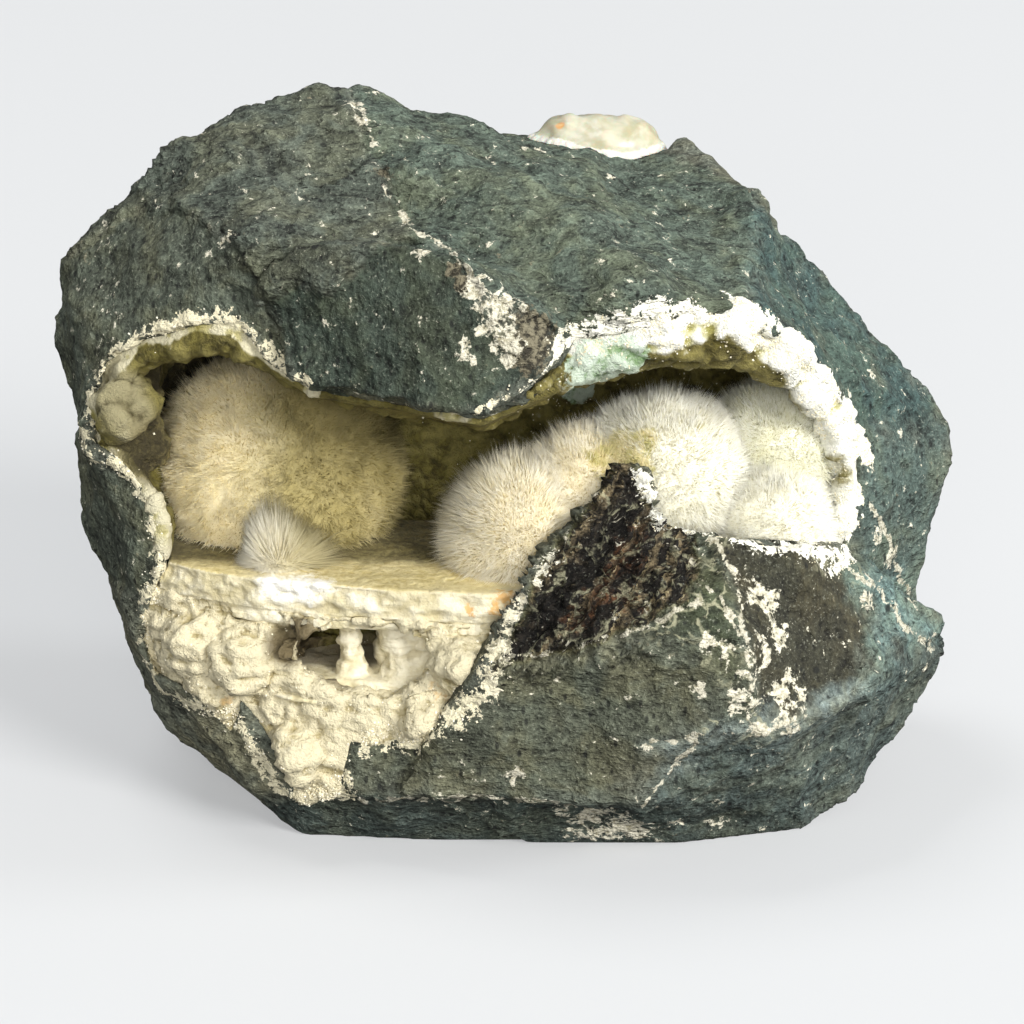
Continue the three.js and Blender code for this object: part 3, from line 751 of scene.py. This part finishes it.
# druse
druse = {
    "voxel": 0.5, "soften": 2, "softenLast": 2, "triangles": 190000,
    "lumps": [(3.8, 0.85, 2), (1.9, 0.55, 5), (0.95, 0.3, 8)],  # size, height, seed
    "chalk": 0.55, "rough": 0.3, "bud": 0.9, "bend": 0.5, "crest": 0.6, "chalkBelow": (42, 36),
    "sunk": {"brownAndShade": 1.3, "recess": 2.2},
    "tiers": [(1.5, 0.9), (0.7, 0.35)],  # thickness and reach of the chalk's layers
    "green": [(598, 368, 5), (622, 358, 4), (576, 386, 3)],
    "olive": [(116, 392, 4), (128, 414, 3.5), (112, 375, 3)],
    # the dark back wall of the left chamber: its own brown and painted shade
    "brownAndShade": [(180, 385, 8), (200, 372, 7), (150, 448, 5), (160, 405, 6), (158, 368, 5), (165, 432, 5)],
    "rust": [(440, 690, 2.2), (412, 662, 1.6), (468, 700, 1.6), (225, 700, 1.2)],
    "rimDepth": (2.6, 5.6),  # how far the white edge reaches in, left and right
    # marks of the hollow below the shelf, pushed in and painted dark as shade
    "recess": [(322, 648, 5.5), (346, 658, 4.5), (300, 658, 3.5), (286, 646, 3), (300, 634, 2.5)],
}


def rimShare(points):  # 1 at the rim, 0 where its white edge ends inside the mouth
    near = []
    for line, radius in rock["rim"]:
        reach = druse["rimDepth"][line[0][0] > 400]
        near.append(nearLine(points, line, reach * min(1, radius / 1.6)))
    return np.max(near, axis=0)


def caveShare(points, start, full):  # 1 in the hollow below the shelf
    return eased(points[:, 1], start, full) * eased(np.abs(points[:, 0] + 25), 13, 10)


drusePiece = solidCopy("vug_druse", "druseLining")
remesh(drusePiece, druse["voxel"])
soften(drusePiece, druse["soften"])
points, facing = surface(drusePiece)
room = distances(points, rockTree)
rimNear = rimShare(points)
free = np.maximum(eased(room, 0.6, 2.2), eased(rimNear, 0.5, 0.8))
lift = np.zeros(len(points))
low = eased(points[:, 2], *druse["chalkBelow"])  # chalk in thin sheets below the shelf
bent = points + druse["bend"] * wave(points, 2.5, 13)
budding = eased(nearMarks(points, druse["olive"], 1.4), 0.05, 0.5)
lift += budding * druse["bud"] * knobs(bent, 2.6, 1.8, 19)
for trait, depth in druse["sunk"].items():
    lift -= depth * eased(nearMarks(points, druse[trait]), 0.05, 0.5)
crest = 1 + druse["crest"] * eased(rimNear, 0.1, 0.6) * (1 - low) * (points[:, 0] > 0)
for size, height, seed in druse["lumps"]:
    grown = (1 - 0.5 * low * (size > 3)) * crest
    lift += grown * height * knobs(bent, size, 0.72 * size, seed)
lift += druse["chalk"] * softNoise(points * np.array([0.7, 0.7, 1.6]), 2.4, 3, 41, 0.6)
lift += druse["rough"] * softNoise(points, 1.3, 2, 47, 0.6)
wavy = points[:, 2] + 1.1 * softNoise(points, 8, 4, 61)
for thickness, reach in druse["tiers"]:
    lift += low * reach * (layerShare(wavy / thickness) - 0.4)
against = eased(room, 1.1, 0.4)
push(drusePiece, points, facing, (lift - 0.35) * free + 0.6 * against)
# the relief also drives painted highlight and shade in the material
note(drusePiece, "relief", np.clip(lift / 1.6, 0, 1))
soften(drusePiece, druse["softenLast"])
thin(drusePiece, druse["triangles"])
points = corners(drusePiece)
rimNear = rimShare(points)
under = eased(points[:, 2], 41, 37) * eased(points[:, 1], -14, -22)
note(drusePiece, "low", eased(points[:, 2], 42, 37))
note(drusePiece, "open", np.maximum(eased(rimNear, 0.0, 0.6), under))
cave = np.maximum(caveShare(points, -26, -22), nearMarks(points, druse["recess"], 1.3))
note(drusePiece, "recess", eased(cave, 0.0, 0.5))
note(drusePiece, "rust", nearMarks(points, druse["rust"], 1.5))
for trait, start, full in (("olive", 0.05, 0.5), ("brownAndShade", 0.0, 0.5), ("green", 0.05, 0.6)):
    note(drusePiece, trait, eased(nearMarks(points, druse[trait], 1.4), start, full))


def druseLook():
    look = Look("druse")
    grain = look.noise(0.35, 3, 0.7)
    speck = look.noise(1.1, 3, 0.65, 0.3)
    cloud = look.noise(5, 3, 0.6, 0.6)
    lines = look.noise(1.1, 2, 0.6, 0.3, look.stretch((0.3, 0.3, 2.0)))
    relief, isOpen, low = look["relief"], look["open"], look["low"]
    # inside the mouth the lining is painted dark olive: partly its own colour, partly painted shade of the
    # hollow
    deep = look.mix((speck * 0.6 + cloud * 0.5).step(0.4, 0.7), "#463f15", "#7b7234")
    # higher lumps painted lighter: painted highlight
    deep = look.mix(relief.step(0.4, 0.9) * 0.5, deep, "#9f9555")
    # pale tones whiten on the lumps' tops and darken in their hollows: painted highlight and shade
    bright = relief + speck * 0.5 + cloud * 0.3
    pale = look.mix(bright.step(0.45, 0.95), "#a9a35e", "#dedbb4")
    pale = look.mix(bright.step(0.85, 1.15), pale, "#f8f7ec")
    # the chalk lighter on its ridges and darker between them: painted highlight and shade
    chalky = look.mix((relief * 0.7 + speck * 0.7 + lines * 0.4).step(0.5, 0.95), "#a99c72", "#dbd1b0")
    chalky = look.mix((speck * 0.4 + grain * 0.3 + lines * 0.3).step(0.48, 0.36) * 0.75, chalky, "#85774f")
    # the hollow below the shelf painted dark brown: painted shade
    chalky = look.mix(look["recess"] * 0.85, chalky, "#574a31")
    pale = look.mix(low, pale, chalky)
    pale = look.mix((1 - look.fromLeft(-0.004, 0.01)) * (1 - low) * 0.7, pale, look.tinted(pale, "#d9cfa6"))
    # the pale rim gives way to the painted shade inside by how open a place is to the mouth
    edge = isOpen * 1.6 + (cloud - 0.5) * 1.3 + (relief - 0.5) * 0.6 + (speck - 0.5) * 0.5
    base = look.mix(edge.step(0.35, 0.85), deep, pale)
    # olive lumps darker in their creases: painted shade
    olive = look.mix((relief + speck * 0.4).step(0.5, 1.2), "#4d4529", "#a69e7c")
    base = look.mix(look["olive"] * 0.8, base, olive)
    lit = speck + relief * 0.4
    # the left chamber's back wall: its own brown, darkened as painted shade
    base = look.mix(look["brownAndShade"] * 0.85, base, look.mix(lit.step(0.5, 0.9), "#332c19", "#776c47"))
    green = (look["green"] + cloud * 1.2 + speck * 1.3 - 1.72).step(0.0, 0.25)
    base = look.mix(green * 0.85, base, look.mix(lit.step(0.5, 0.8), "#86a877", "#d6e6d3"))
    rust = (look["rust"] * 0.7 + speck * 1.4 - 1.0).step(0.0, 0.3)
    base = look.mix(rust * 0.6, base, "#c39a58")
    normal = look.bump(speck * 1.2 + grain * 0.9 * (1 - low * 0.6), 0.6)
    return look.finish(Base_Color=base, Roughness=0.62 + grain * 0.25, Normal=normal)


dress(drusePiece, druseLook(), "druse", "vug_druse")


def scatter(piece, weight, count, rng):  # points on a piece, more of them where the weight is high
    piece.data.calc_loop_triangles()
    triangles = piece.data.loop_triangles
    faces, areas = np.empty(len(triangles) * 3, np.int64), np.empty(len(triangles))
    triangles.foreach_get("vertices", faces)
    triangles.foreach_get("area", areas)
    faces = faces.reshape(-1, 3)
    chance = areas * weight[faces].mean(axis=1)
    chosen = faces[rng.choice(len(faces), count, p=chance / chance.sum())]
    shares = rng.dirichlet((1, 1, 1), count)[:, :, None]
    return [(values[chosen] * shares).sum(axis=1) for values in surface(piece)]


# grains on the druse and round the mouth
grains = {"druse": 6000, "rim": 1800, "size": (0.12, 0.3), "seed": 5}
rng = np.random.default_rng(grains["seed"])
points, facing = surface(drusePiece)
nearRim = rimShare(points)
clumps = eased(softNoise(points, 2.2, 2, 81), -0.2, 0.35)
seen = eased(facing @ mouthWay, -0.1, 0.4) * (0.04 + 0.96 * np.maximum(points[:, 0] > 0, points[:, 2] < 38))
weight = (eased(nearRim, 0.1, 0.7) + 0.03) * clumps * seen
spots, aims = scatter(drusePiece, weight, grains["druse"], rng)
points = corners(rockPiece)
nearRim = spillShare(points)
clumps = eased(softNoise(points, 1.9, 2, 83), 0.0, 0.3)
rimSpots, rimAims = scatter(rockPiece, eased(nearRim, 0.2, 0.9) ** 2 * clumps, grains["rim"], rng)
spots, aims = np.concatenate([spots, rimSpots]), np.concatenate([aims, rimAims])
low, high = grains["size"]
sizes = low + (high - low) * rng.random(len(spots)) ** 2.5
aims = aims + rng.normal(0, 0.5, aims.shape)
tall = sizes * uneven(rng, len(spots))
grainPiece = strew("druseGrains", grainShape, spots, aims, sizes, tall, rng.random(len(spots)) * fullTurn)
note(grainPiece, "tint", np.repeat(rng.random(len(spots)), len(grainShape[0])))


def grainLook():
    look = Look("grains")
    tint = look["tint"]
    base = look.mix(tint, "#ddd3b0", "#f7f2e2")
    base = look.mix(look.noise(0.4, 2) * 0.2, base, "#dcd3b0")
    return look.finish(Base_Color=base, Roughness=0.3 + tint * 0.4)


dress(grainPiece, grainLook(), "druse", "vug_druse", smooth=False)

# shelf
shelf = {
    "voxel": 0.36, "soften": 1, "softenLast": 2, "layer": 1.25, "layerDepth": 0.34, "chalk": 0.5,
    "fill": [  # chalk by the hollow: middle, radii
        ((-11.5, -26.5, 30.5), (4.6, 4.6, 4.6)), ((-9.5, -27.5, 25.5), (4.2, 4.2, 4.2)),
        ((-14.2, -23.5, 31.5), (4.4, 4.4, 4.4)), ((-15.0, -24.5, 27.0), (3.4, 3.4, 3.4)),
        ((-23.2, -29.6, 22.7), (9.4, 5.4, 0.9)),
    ],
    "crumbs": (0.16, 0.1),  # on upright faces and on all
    "strip": (-26.5, -21.5),  # the top is painted dark behind this strip as shade, bright only in front
    "sand": [(380, 578, 10), (340, 575, 7), (430, 575, 7), (200, 570, 8), (470, 580, 6), (360, 560, 8)],
    "white": [(300, 580, 5), (270, 583, 4), (320, 583, 4)],
    "rust": [(505, 600, 2.6), (497, 608, 1.8), (470, 610, 1.2)],
}
shelfPiece = solidCopy("layered_shelf", "shelfPlates")
addEllipsoids(shelfPiece, shelf["fill"], 3)
remesh(shelfPiece, shelf["voxel"])
soften(shelfPiece, shelf["soften"])
points, facing = surface(shelfPiece)
step = layerShare((points[:, 2] + 0.5 * softNoise(points, 11, 3, 61)) / shelf["layer"])
upright = 1 - np.abs(facing[:, 2])
lift = shelf["layerDepth"] * (step * 2 - 1.4) * upright
rough = softNoise(points * np.array([0.8, 0.8, 1.5]), 3.0, 4, 63, 0.65)
lift += shelf["chalk"] * rough * (0.3 + 0.7 * upright)
crumbs = knobs(points, 1.1, 0.8, 65)
lift += shelf["crumbs"][0] * crumbs * upright + shelf["crumbs"][1] * crumbs
lift *= eased(np.abs(points[:, 0] + 20), 32, 26) * eased(points[:, 1], -8, -12)
push(shelfPiece, points, facing, lift)
note(shelfPiece, "relief", np.clip(0.5 + lift, 0, 1))
soften(shelfPiece, shelf["softenLast"])
points, facing = surface(shelfPiece)
note(shelfPiece, "top", eased(facing[:, 2], 0.5, 0.9) * eased(points[:, 2], 37.5, 38.6))
# recess: the shelf inside the hollow, painted darker as shade
note(shelfPiece, "recess", caveShare(points, -27, -24) * eased(points[:, 2], 36.5, 35))
# rear: the part of the top that is painted dark as shade
note(shelfPiece, "rear", eased(points[:, 1] + 1.2 * softNoise(points, 5, 3, 67), *shelf["strip"]))
for trait in ("sand", "white", "rust"):
    note(shelfPiece, trait, nearMarks(points, shelf[trait], 1.5))


def shelfLook():
    look = Look("shelf")
    grain = look.noise(0.3, 3, 0.7)
    speck = look.noise(1.1, 4, 0.68, 0.3)
    cloud = look.noise(7, 4, 0.6, 0.5)
    top = look["top"]
    lines = look.noise(1.0, 3, 0.6, 0.2, look.stretch((0.12, 0.12, 2.4))) * (1 - top) + top * 0.5
    base = look.mix((cloud + speck * 0.4).step(0.5, 0.85), "#d3c8a0", "#efe8cf")
    base = look.mix(lines.step(0.56, 0.68) * 0.4, base, "#c2b283")
    # hollows of the relief painted darker: painted shade
    base = look.mix((look["relief"] + speck * 0.4).step(0.7, 0.3) * 0.5, base, "#b3a67c")
    base = look.mix(top * (speck * 0.6 + grain * 0.4).step(0.47, 0.6) * 0.55, base, "#d6c99e")
    base = look.mix(top * (speck * 0.5 + grain * 0.5).step(0.45, 0.36) * 0.6, base, "#96885a")
    sandy = top * (look["sand"] * 0.8 + cloud * 0.9 + speck * 0.6 - 0.75)
    base = look.mix(sandy.step(0.0, 0.5) * 0.75, base, look.mix(speck.step(0.3, 0.7), "#c4ae66", "#e6d79c"))
    paintedShade = look.mix((speck * 0.6 + cloud * 0.4).step(0.4, 0.65), "#3a3418", "#7b7143")
    # the top's rear painted dark olive as the shade deep in the hollow
    base = look.mix(look["rear"] * top * 0.9, base, paintedShade)
    # painted shade in the hollow below the shelf
    base = look.mix(look["recess"] * 0.75, base, "#6e6143")
    white = look["white"] * 0.7 + cloud * 0.8 + speck * 0.7 - 1.1
    base = look.mix(white.step(0.0, 0.35), base, "#fdfbf3")
    rust = look["rust"] * 0.7 + speck * 1.5 - 1.05
    base = look.mix(rust.step(0.0, 0.35) * 0.8, base, "#cf9a45")
    normal = look.bump(speck * 0.9 + grain * 0.4 + lines * 0.3, 0.35)
    return look.finish(Base_Color=base, Roughness=0.7 + grain * 0.2, Normal=normal)


dress(shelfPiece, shelfLook(), "shelf", "layered_shelf")


# puffballs
needleTraits = {  # sizes in millimetres, mat is the share that lies matted
    "flat": 1.0, "length": 3.8, "width": 0.06, "mat": 0.4, "curl": 0.9, "swell": 0.04, "corner": 0,
    "felt": 0.36, "slot": "needles_white", "look": "white",
}
puffballs = [{**needleTraits, **own} for own in (
    {"name": "largePuff", "node": "puffball_large", "centre": (-32.6, -3.8, 46.0), "radius": 18.7,
     "flat": 0.95, "needles": 40000, "seed": 11, "length": 3.6, "width": 0.065, "mat": 0.62, "curl": 1.5,
     "slot": "needles_cream", "look": "cream", "swell": 0.02, "corner": 0.12},
    {"name": "rearPuff", "node": "puffball_rear", "centre": (38.7, -9.9, 50.4), "radius": 11.5,
     "needles": 28000, "seed": 13, "length": 3.4, "width": 0.062, "mat": 0.3, "curl": 0.7, "look": "rear",
     "swell": 0.03},
    {"name": "leftPuff", "node": "puffball_cluster", "centre": (2.8, -21.4, 42.3), "radius": 12.1,
     "needles": 33000, "seed": 14, "length": 4.6, "mat": 0.35, "look": "warm", "swell": 0.03},
    {"name": "mainPuff", "node": "puffball_cluster", "centre": (22.0, -16.4, 49.1), "radius": 13.1,
     "needles": 33000, "seed": 15},
    {"name": "bridgePuff", "node": "puffball_cluster", "centre": (12.0, -18.6, 46.9), "radius": 11.2,
     "needles": 24000, "seed": 17, "width": 0.061, "look": "warm"},
    {"name": "rightPuff", "node": "puffball_cluster", "centre": (37.2, -19.8, 43.2), "radius": 9.6,
     "needles": 22000, "seed": 16, "length": 3.2, "width": 0.056, "mat": 0.45, "curl": 1.0},
)]
tuft = {"name": "smallPuff", "node": "puffball_small", "root": (-31.4, -24.8, 39.4), "spread": (2.2, 1.4),
        "needles": 10000, "seed": 12, "length": 9.8, "width": 0.085, "slot": "needles_cream",
        "look": "warm"}
puffMarks = {
    "yolk": [(618, 452, 3.8), (600, 462, 2.8), (645, 440, 2.2), (605, 478, 2.2), (640, 465, 2.4),
             (702, 423, 1.0)],
    # painted shade: the large ball darker olive on its right and middle, under the prow
    "shade": [(385, 440, 15), (395, 510, 14), (330, 410, 10), (325, 480, 10), (340, 535, 10)],
}
shelfLevel = 39.5


def puffLook(name, root, body, tip):
    look = Look(name)
    along, tint, tuft = look["along"], look["tint"], look["tuft"]
    cloud = look.noise(4.5, 2, 0.6, 0.4)
    fuzz = look.noise(0.5, 2, 0.7, 0.3)
    # darker and yellower towards the roots, and in random patches: painted shade deep in the fur
    base = look.mix(along.step(0.2, 0.6), root, body)
    base = look.mix((along + tuft * 0.5 - 0.35).step(0.2, 0.9), base, tip)
    base = look.mix((cloud * 0.6 + tint * 0.4).step(0.55, 0.3) * 0.35, base, root)
    base = look.mix(look["shade"] * 0.85, base, "#8c7f42")
    spots = look.noise(1.7, 2, 0.6, 0.3)
    yolk = (look["yolk"] * 0.8 + cloud * 0.5 + spots * 1.5 + tint * 0.2 - 1.5).step(0.0, 0.3)
    base = look.mix(yolk * 0.7, base, look.mix(spots.step(0.4, 0.65), "#e0cf8c", "#b3aa42"))
    felt = look.bump(fuzz * look["felt"], 0.35)
    return look.finish(Base_Color=base, Roughness=0.6 + tint * 0.25, Normal=felt)


puffLooks = {
    "cream": puffLook("creamNeedles", "#ddcb92", "#e9dbab", "#f4eacb"),
    "warm": puffLook("warmNeedles", "#e6d8a8", "#f2e8c8", "#faf5e4"),
    "white": puffLook("whiteNeedles", "#d6d0ae", "#e9e6d4", "#f2f1e6"),
    "rear": puffLook("rearNeedles", "#c2bd8d", "#eceace", "#f9f9ee"),
}


def spiral(count):  # evenly spread directions
    turn = np.arange(count) * math.pi * (3 - math.sqrt(5))
    height = 1 - 2 * (np.arange(count) + 0.5) / count
    ring = np.sqrt(1 - height ** 2)
    return np.stack([ring * np.cos(turn), ring * np.sin(turn), height], axis=1)


def unit(ways):
    return ways / np.linalg.norm(ways, axis=1, keepdims=True)


def finishPuff(spec, piece, traits, body, bodyTraits):  # joins the needles and their felted body
    made = bmesh.new()
    made.from_mesh(piece.data)
    bodyMesh = bpy.data.meshes.new(spec["name"] + "Body")
    body.to_mesh(bodyMesh)
    body.free()
    made.from_mesh(bodyMesh)
    made.to_mesh(piece.data)
    made.free()
    bpy.data.meshes.remove(bodyMesh)
    points = corners(piece)
    for name, values in traits.items():
        rest = np.broadcast_to(bodyTraits[name], len(points) - len(values))
        note(piece, name, np.append(values, rest))
    for trait, marks in puffMarks.items():
        note(piece, trait, eased(nearMarks(points, marks, 1.6), 0.0, 0.7))
    dress(piece, puffLooks[spec["look"]], spec["slot"], spec["node"])


def swollen(spec, ways):  # how far a ball departs from round
    bulge = 1 + spec["swell"] * softNoise(ways * spec["radius"], spec["radius"] * 0.5, 3, spec["seed"])
    corner = np.clip(-2 * ways[:, 0] * ways[:, 1], 0, 1) * (ways[:, 0] > 0)  # it sags to the right
    return bulge + spec["corner"] * corner * eased(ways[:, 2], 0.4, -0.25)


def needles(spec, rng, roots, aims, lengths, tufts, foot=0.0):
    count, size = len(roots), len(needleShape[0])
    widths = spec["width"] * uneven(rng, count)
    piece = strew(spec["name"], needleShape, roots, aims, widths, lengths, rng.random(count) * fullTurn)
    along = foot + (1 - foot) * needleShape[0][:, 2]
    return piece, {"along": np.tile(along, count), "tint": np.repeat(rng.random(count), size),
                   "tuft": np.repeat(tufts, size), "felt": np.zeros(count * size)}


def puff(spec):
    rng = np.random.default_rng(spec["seed"])
    radius, centre, long = spec["radius"], np.array(spec["centre"]), spec["length"]
    aims = spiral(int(spec["needles"] / 0.68))
    aims = aims[aims @ mouthWay > -0.36]  # the side to the wall stays bare
    aims = unit(aims + rng.normal(0, 0.02, (1, 3)))
    count = len(aims)
    aims = unit(aims + rng.normal(0, 0.03, aims.shape))
    felt = radius - spec["felt"] * long  # where the felted body ends
    bulge = swollen(spec, aims)
    form = np.array([1, 1, spec["flat"]])
    roots = centre + aims * (felt * bulge - 0.5)[:, None] * form
    matted = rng.random(count) < spec["mat"]
    lean = wave(roots, 4.0, spec["seed"] + 20)
    lean += np.where(matted, 0.5, 0.1)[:, None] * wave(roots, 1.4, spec["seed"] + 30)
    lean *= np.where(matted, spec["curl"], 0.3)[:, None]
    lean += rng.normal(0, 0.14, aims.shape)
    lean -= (lean * aims).sum(axis=1, keepdims=True) * aims
    tufts = 0.5 + 0.5 * softNoise(roots, 1.6, 2, spec["seed"] + 40)
    lying, upright = 0.45 + 0.2 * rng.random(count), 0.36 + 0.12 * tufts + 0.5 * rng.random(count) ** 2.2
    lengths = long * np.where(matted, lying, upright)
    lengths *= np.where(rng.random(count) < 0.04, 1.25, 1.0)
    aims = unit(aims + lean)
    drop = shelfLevel + 0.25 - roots[:, 2]  # a needle that would pass through the floor lies along it
    aims[:, 2] = np.maximum(aims[:, 2], np.minimum(drop / lengths, 0))
    aims = unit(aims)
    keep = roots[:, 2] > shelfLevel + 0.3
    for other in puffballs:  # no needle starts inside a neighbour
        if other is not spec:
            away = np.linalg.norm(roots - np.array(other["centre"]), axis=1)
            keep &= away > other["radius"] - other["length"] * 0.9
    piece, traits = needles(spec, rng, roots[keep], aims[keep], lengths[keep], tufts[keep])
    made = bmesh.new()
    bmesh.ops.create_icosphere(made, subdivisions=5, radius=1)
    bare = np.array([v.co[:] for v in made.verts])
    bulge = swollen(spec, bare)
    spots = bare * (felt * bulge)[:, None] * form + centre
    spots += bare * (0.3 * softNoise(spots, 1.5, 3, spec["seed"] + 50))[:, None]
    spots[:, 2] = np.maximum(spots[:, 2], shelfLevel + 0.1)
    for vert, spot in zip(made.verts, spots):
        vert.co = spot * mm
    fur = 0.5 + 0.5 * softNoise(spots, 1.6, 2, spec["seed"] + 40)
    finishPuff(spec, piece, traits, made, {"along": 0.6, "tint": 0.6, "tuft": fur, "felt": 1})


def spray(spec):  # the small one grows as a fan from its foot
    rng = np.random.default_rng(spec["seed"])
    aims = spiral(spec["needles"] * 2)
    aims = aims[aims[:, 2] > 0.02]
    aims = unit(aims + rng.normal(0, 0.06, aims.shape))
    count = len(aims)
    wide, deep = spec["spread"]
    roots = np.array(spec["root"]) + aims * np.array([wide, deep, 0.4]) + rng.normal(0, 0.2, (count, 3))
    roots[:, 2] = np.maximum(roots[:, 2], shelfLevel + 0.2)
    peak = np.exp(-((aims[:, 0] + 0.12) / 0.34) ** 2)
    side = eased(aims[:, 0], 0.55, 0.95)
    tufts = 0.5 + 0.5 * softNoise(aims * 4, 1.0, 2, spec["seed"])
    grown = 0.6 + 0.42 * peak + 0.25 * side + 0.15 * tufts
    lengths = spec["length"] * grown * (0.55 + 0.45 * rng.random(count) ** 0.6)
    lengths *= np.where(side > 0.5, 0.6 + 0.5 * rng.random(count) ** 3, 1.0)
    out = eased(-aims[:, 1], 0.45, 0.75)  # short and untidy where they point out of the mouth
    lengths *= (1 - 0.62 * out) * (1 - 0.35 * eased(-aims[:, 0], 0.45, 0.85))
    aims = aims + out[:, None] * rng.normal(0, 0.45, aims.shape)
    aims = unit(aims + 0.12 * wave(roots, 1.2, spec["seed"] + 3))
    aims[:, 2] = np.maximum(aims[:, 2], 0.03)
    piece, traits = needles(spec, rng, roots, unit(aims), lengths, tufts, 0.35)
    made = bmesh.new()
    ellipsoid(made, spec["root"], (wide + 1.2, deep + 1.0, 3.2), 4)
    for vert in made.verts:
        vert.co.z = max(vert.co.z, (shelfLevel + 0.1) * mm)
    finishPuff(spec, piece, traits, made, {"along": 0.8, "tint": 0.6, "tuft": 0.6, "felt": 1})


for spec in puffballs:
    puff(spec)
spray(tuft)

# dome on the back of the top
dome = {"voxel": 0.3, "soften": 10, "wave": 0.4, "crumbs": 0.5, "skirt": (2.6, 1.0),
        "lens": ((13.2, 18.2, 87.0), (10.0, 6.6, 5.5)), "rust": [(662, 138, 1.6), (560, 125, 1.2)]}
domePiece = solidCopy("top_dome", "topDome")
addEllipsoids(domePiece, [dome["lens"]], 4)
remesh(domePiece, dome["voxel"])
soften(domePiece, dome["soften"])
points, facing = surface(domePiece)
room = distances(points, rockTree)
skirt = eased(room, *dome["skirt"])
lift = dome["wave"] * softNoise(points, 4, 2, 71)
lift += skirt * (dome["crumbs"] * knobs(points, 1.3, 0.95, 73) + 0.2)
push(domePiece, points, facing, lift)
points = corners(domePiece)
room = distances(points, rockTree)
note(domePiece, "skirt", eased(room, 2.8, 1.0))
note(domePiece, "rust", nearMarks(points, dome["rust"]))


def domeLook():
    look = Look("dome")
    speck = look.noise(0.8, 3, 0.6)
    cloud = look.noise(4, 3, 0.55, 0.5)
    base = look.mix(cloud.step(0.35, 0.65), "#a5a184", "#bdbba8")
    base = look.mix((look["skirt"] + speck * 0.7 - 0.75).step(0.0, 0.3), base, "#d0cec3")
    base = look.mix((look["rust"] + speck * 0.6 - 0.6).step(0.0, 0.3) * 0.8, base, "#c98f45")
    normal = look.bump(speck * (look["skirt"] + 0.2), 0.3)
    return look.finish(Base_Color=base, Roughness=0.32 + look["skirt"] * 0.4, Normal=normal,
                       Subsurface_Weight=0.35, Subsurface_Scale=0.004)


dress(domePiece, domeLook(), "dome", "top_dome")
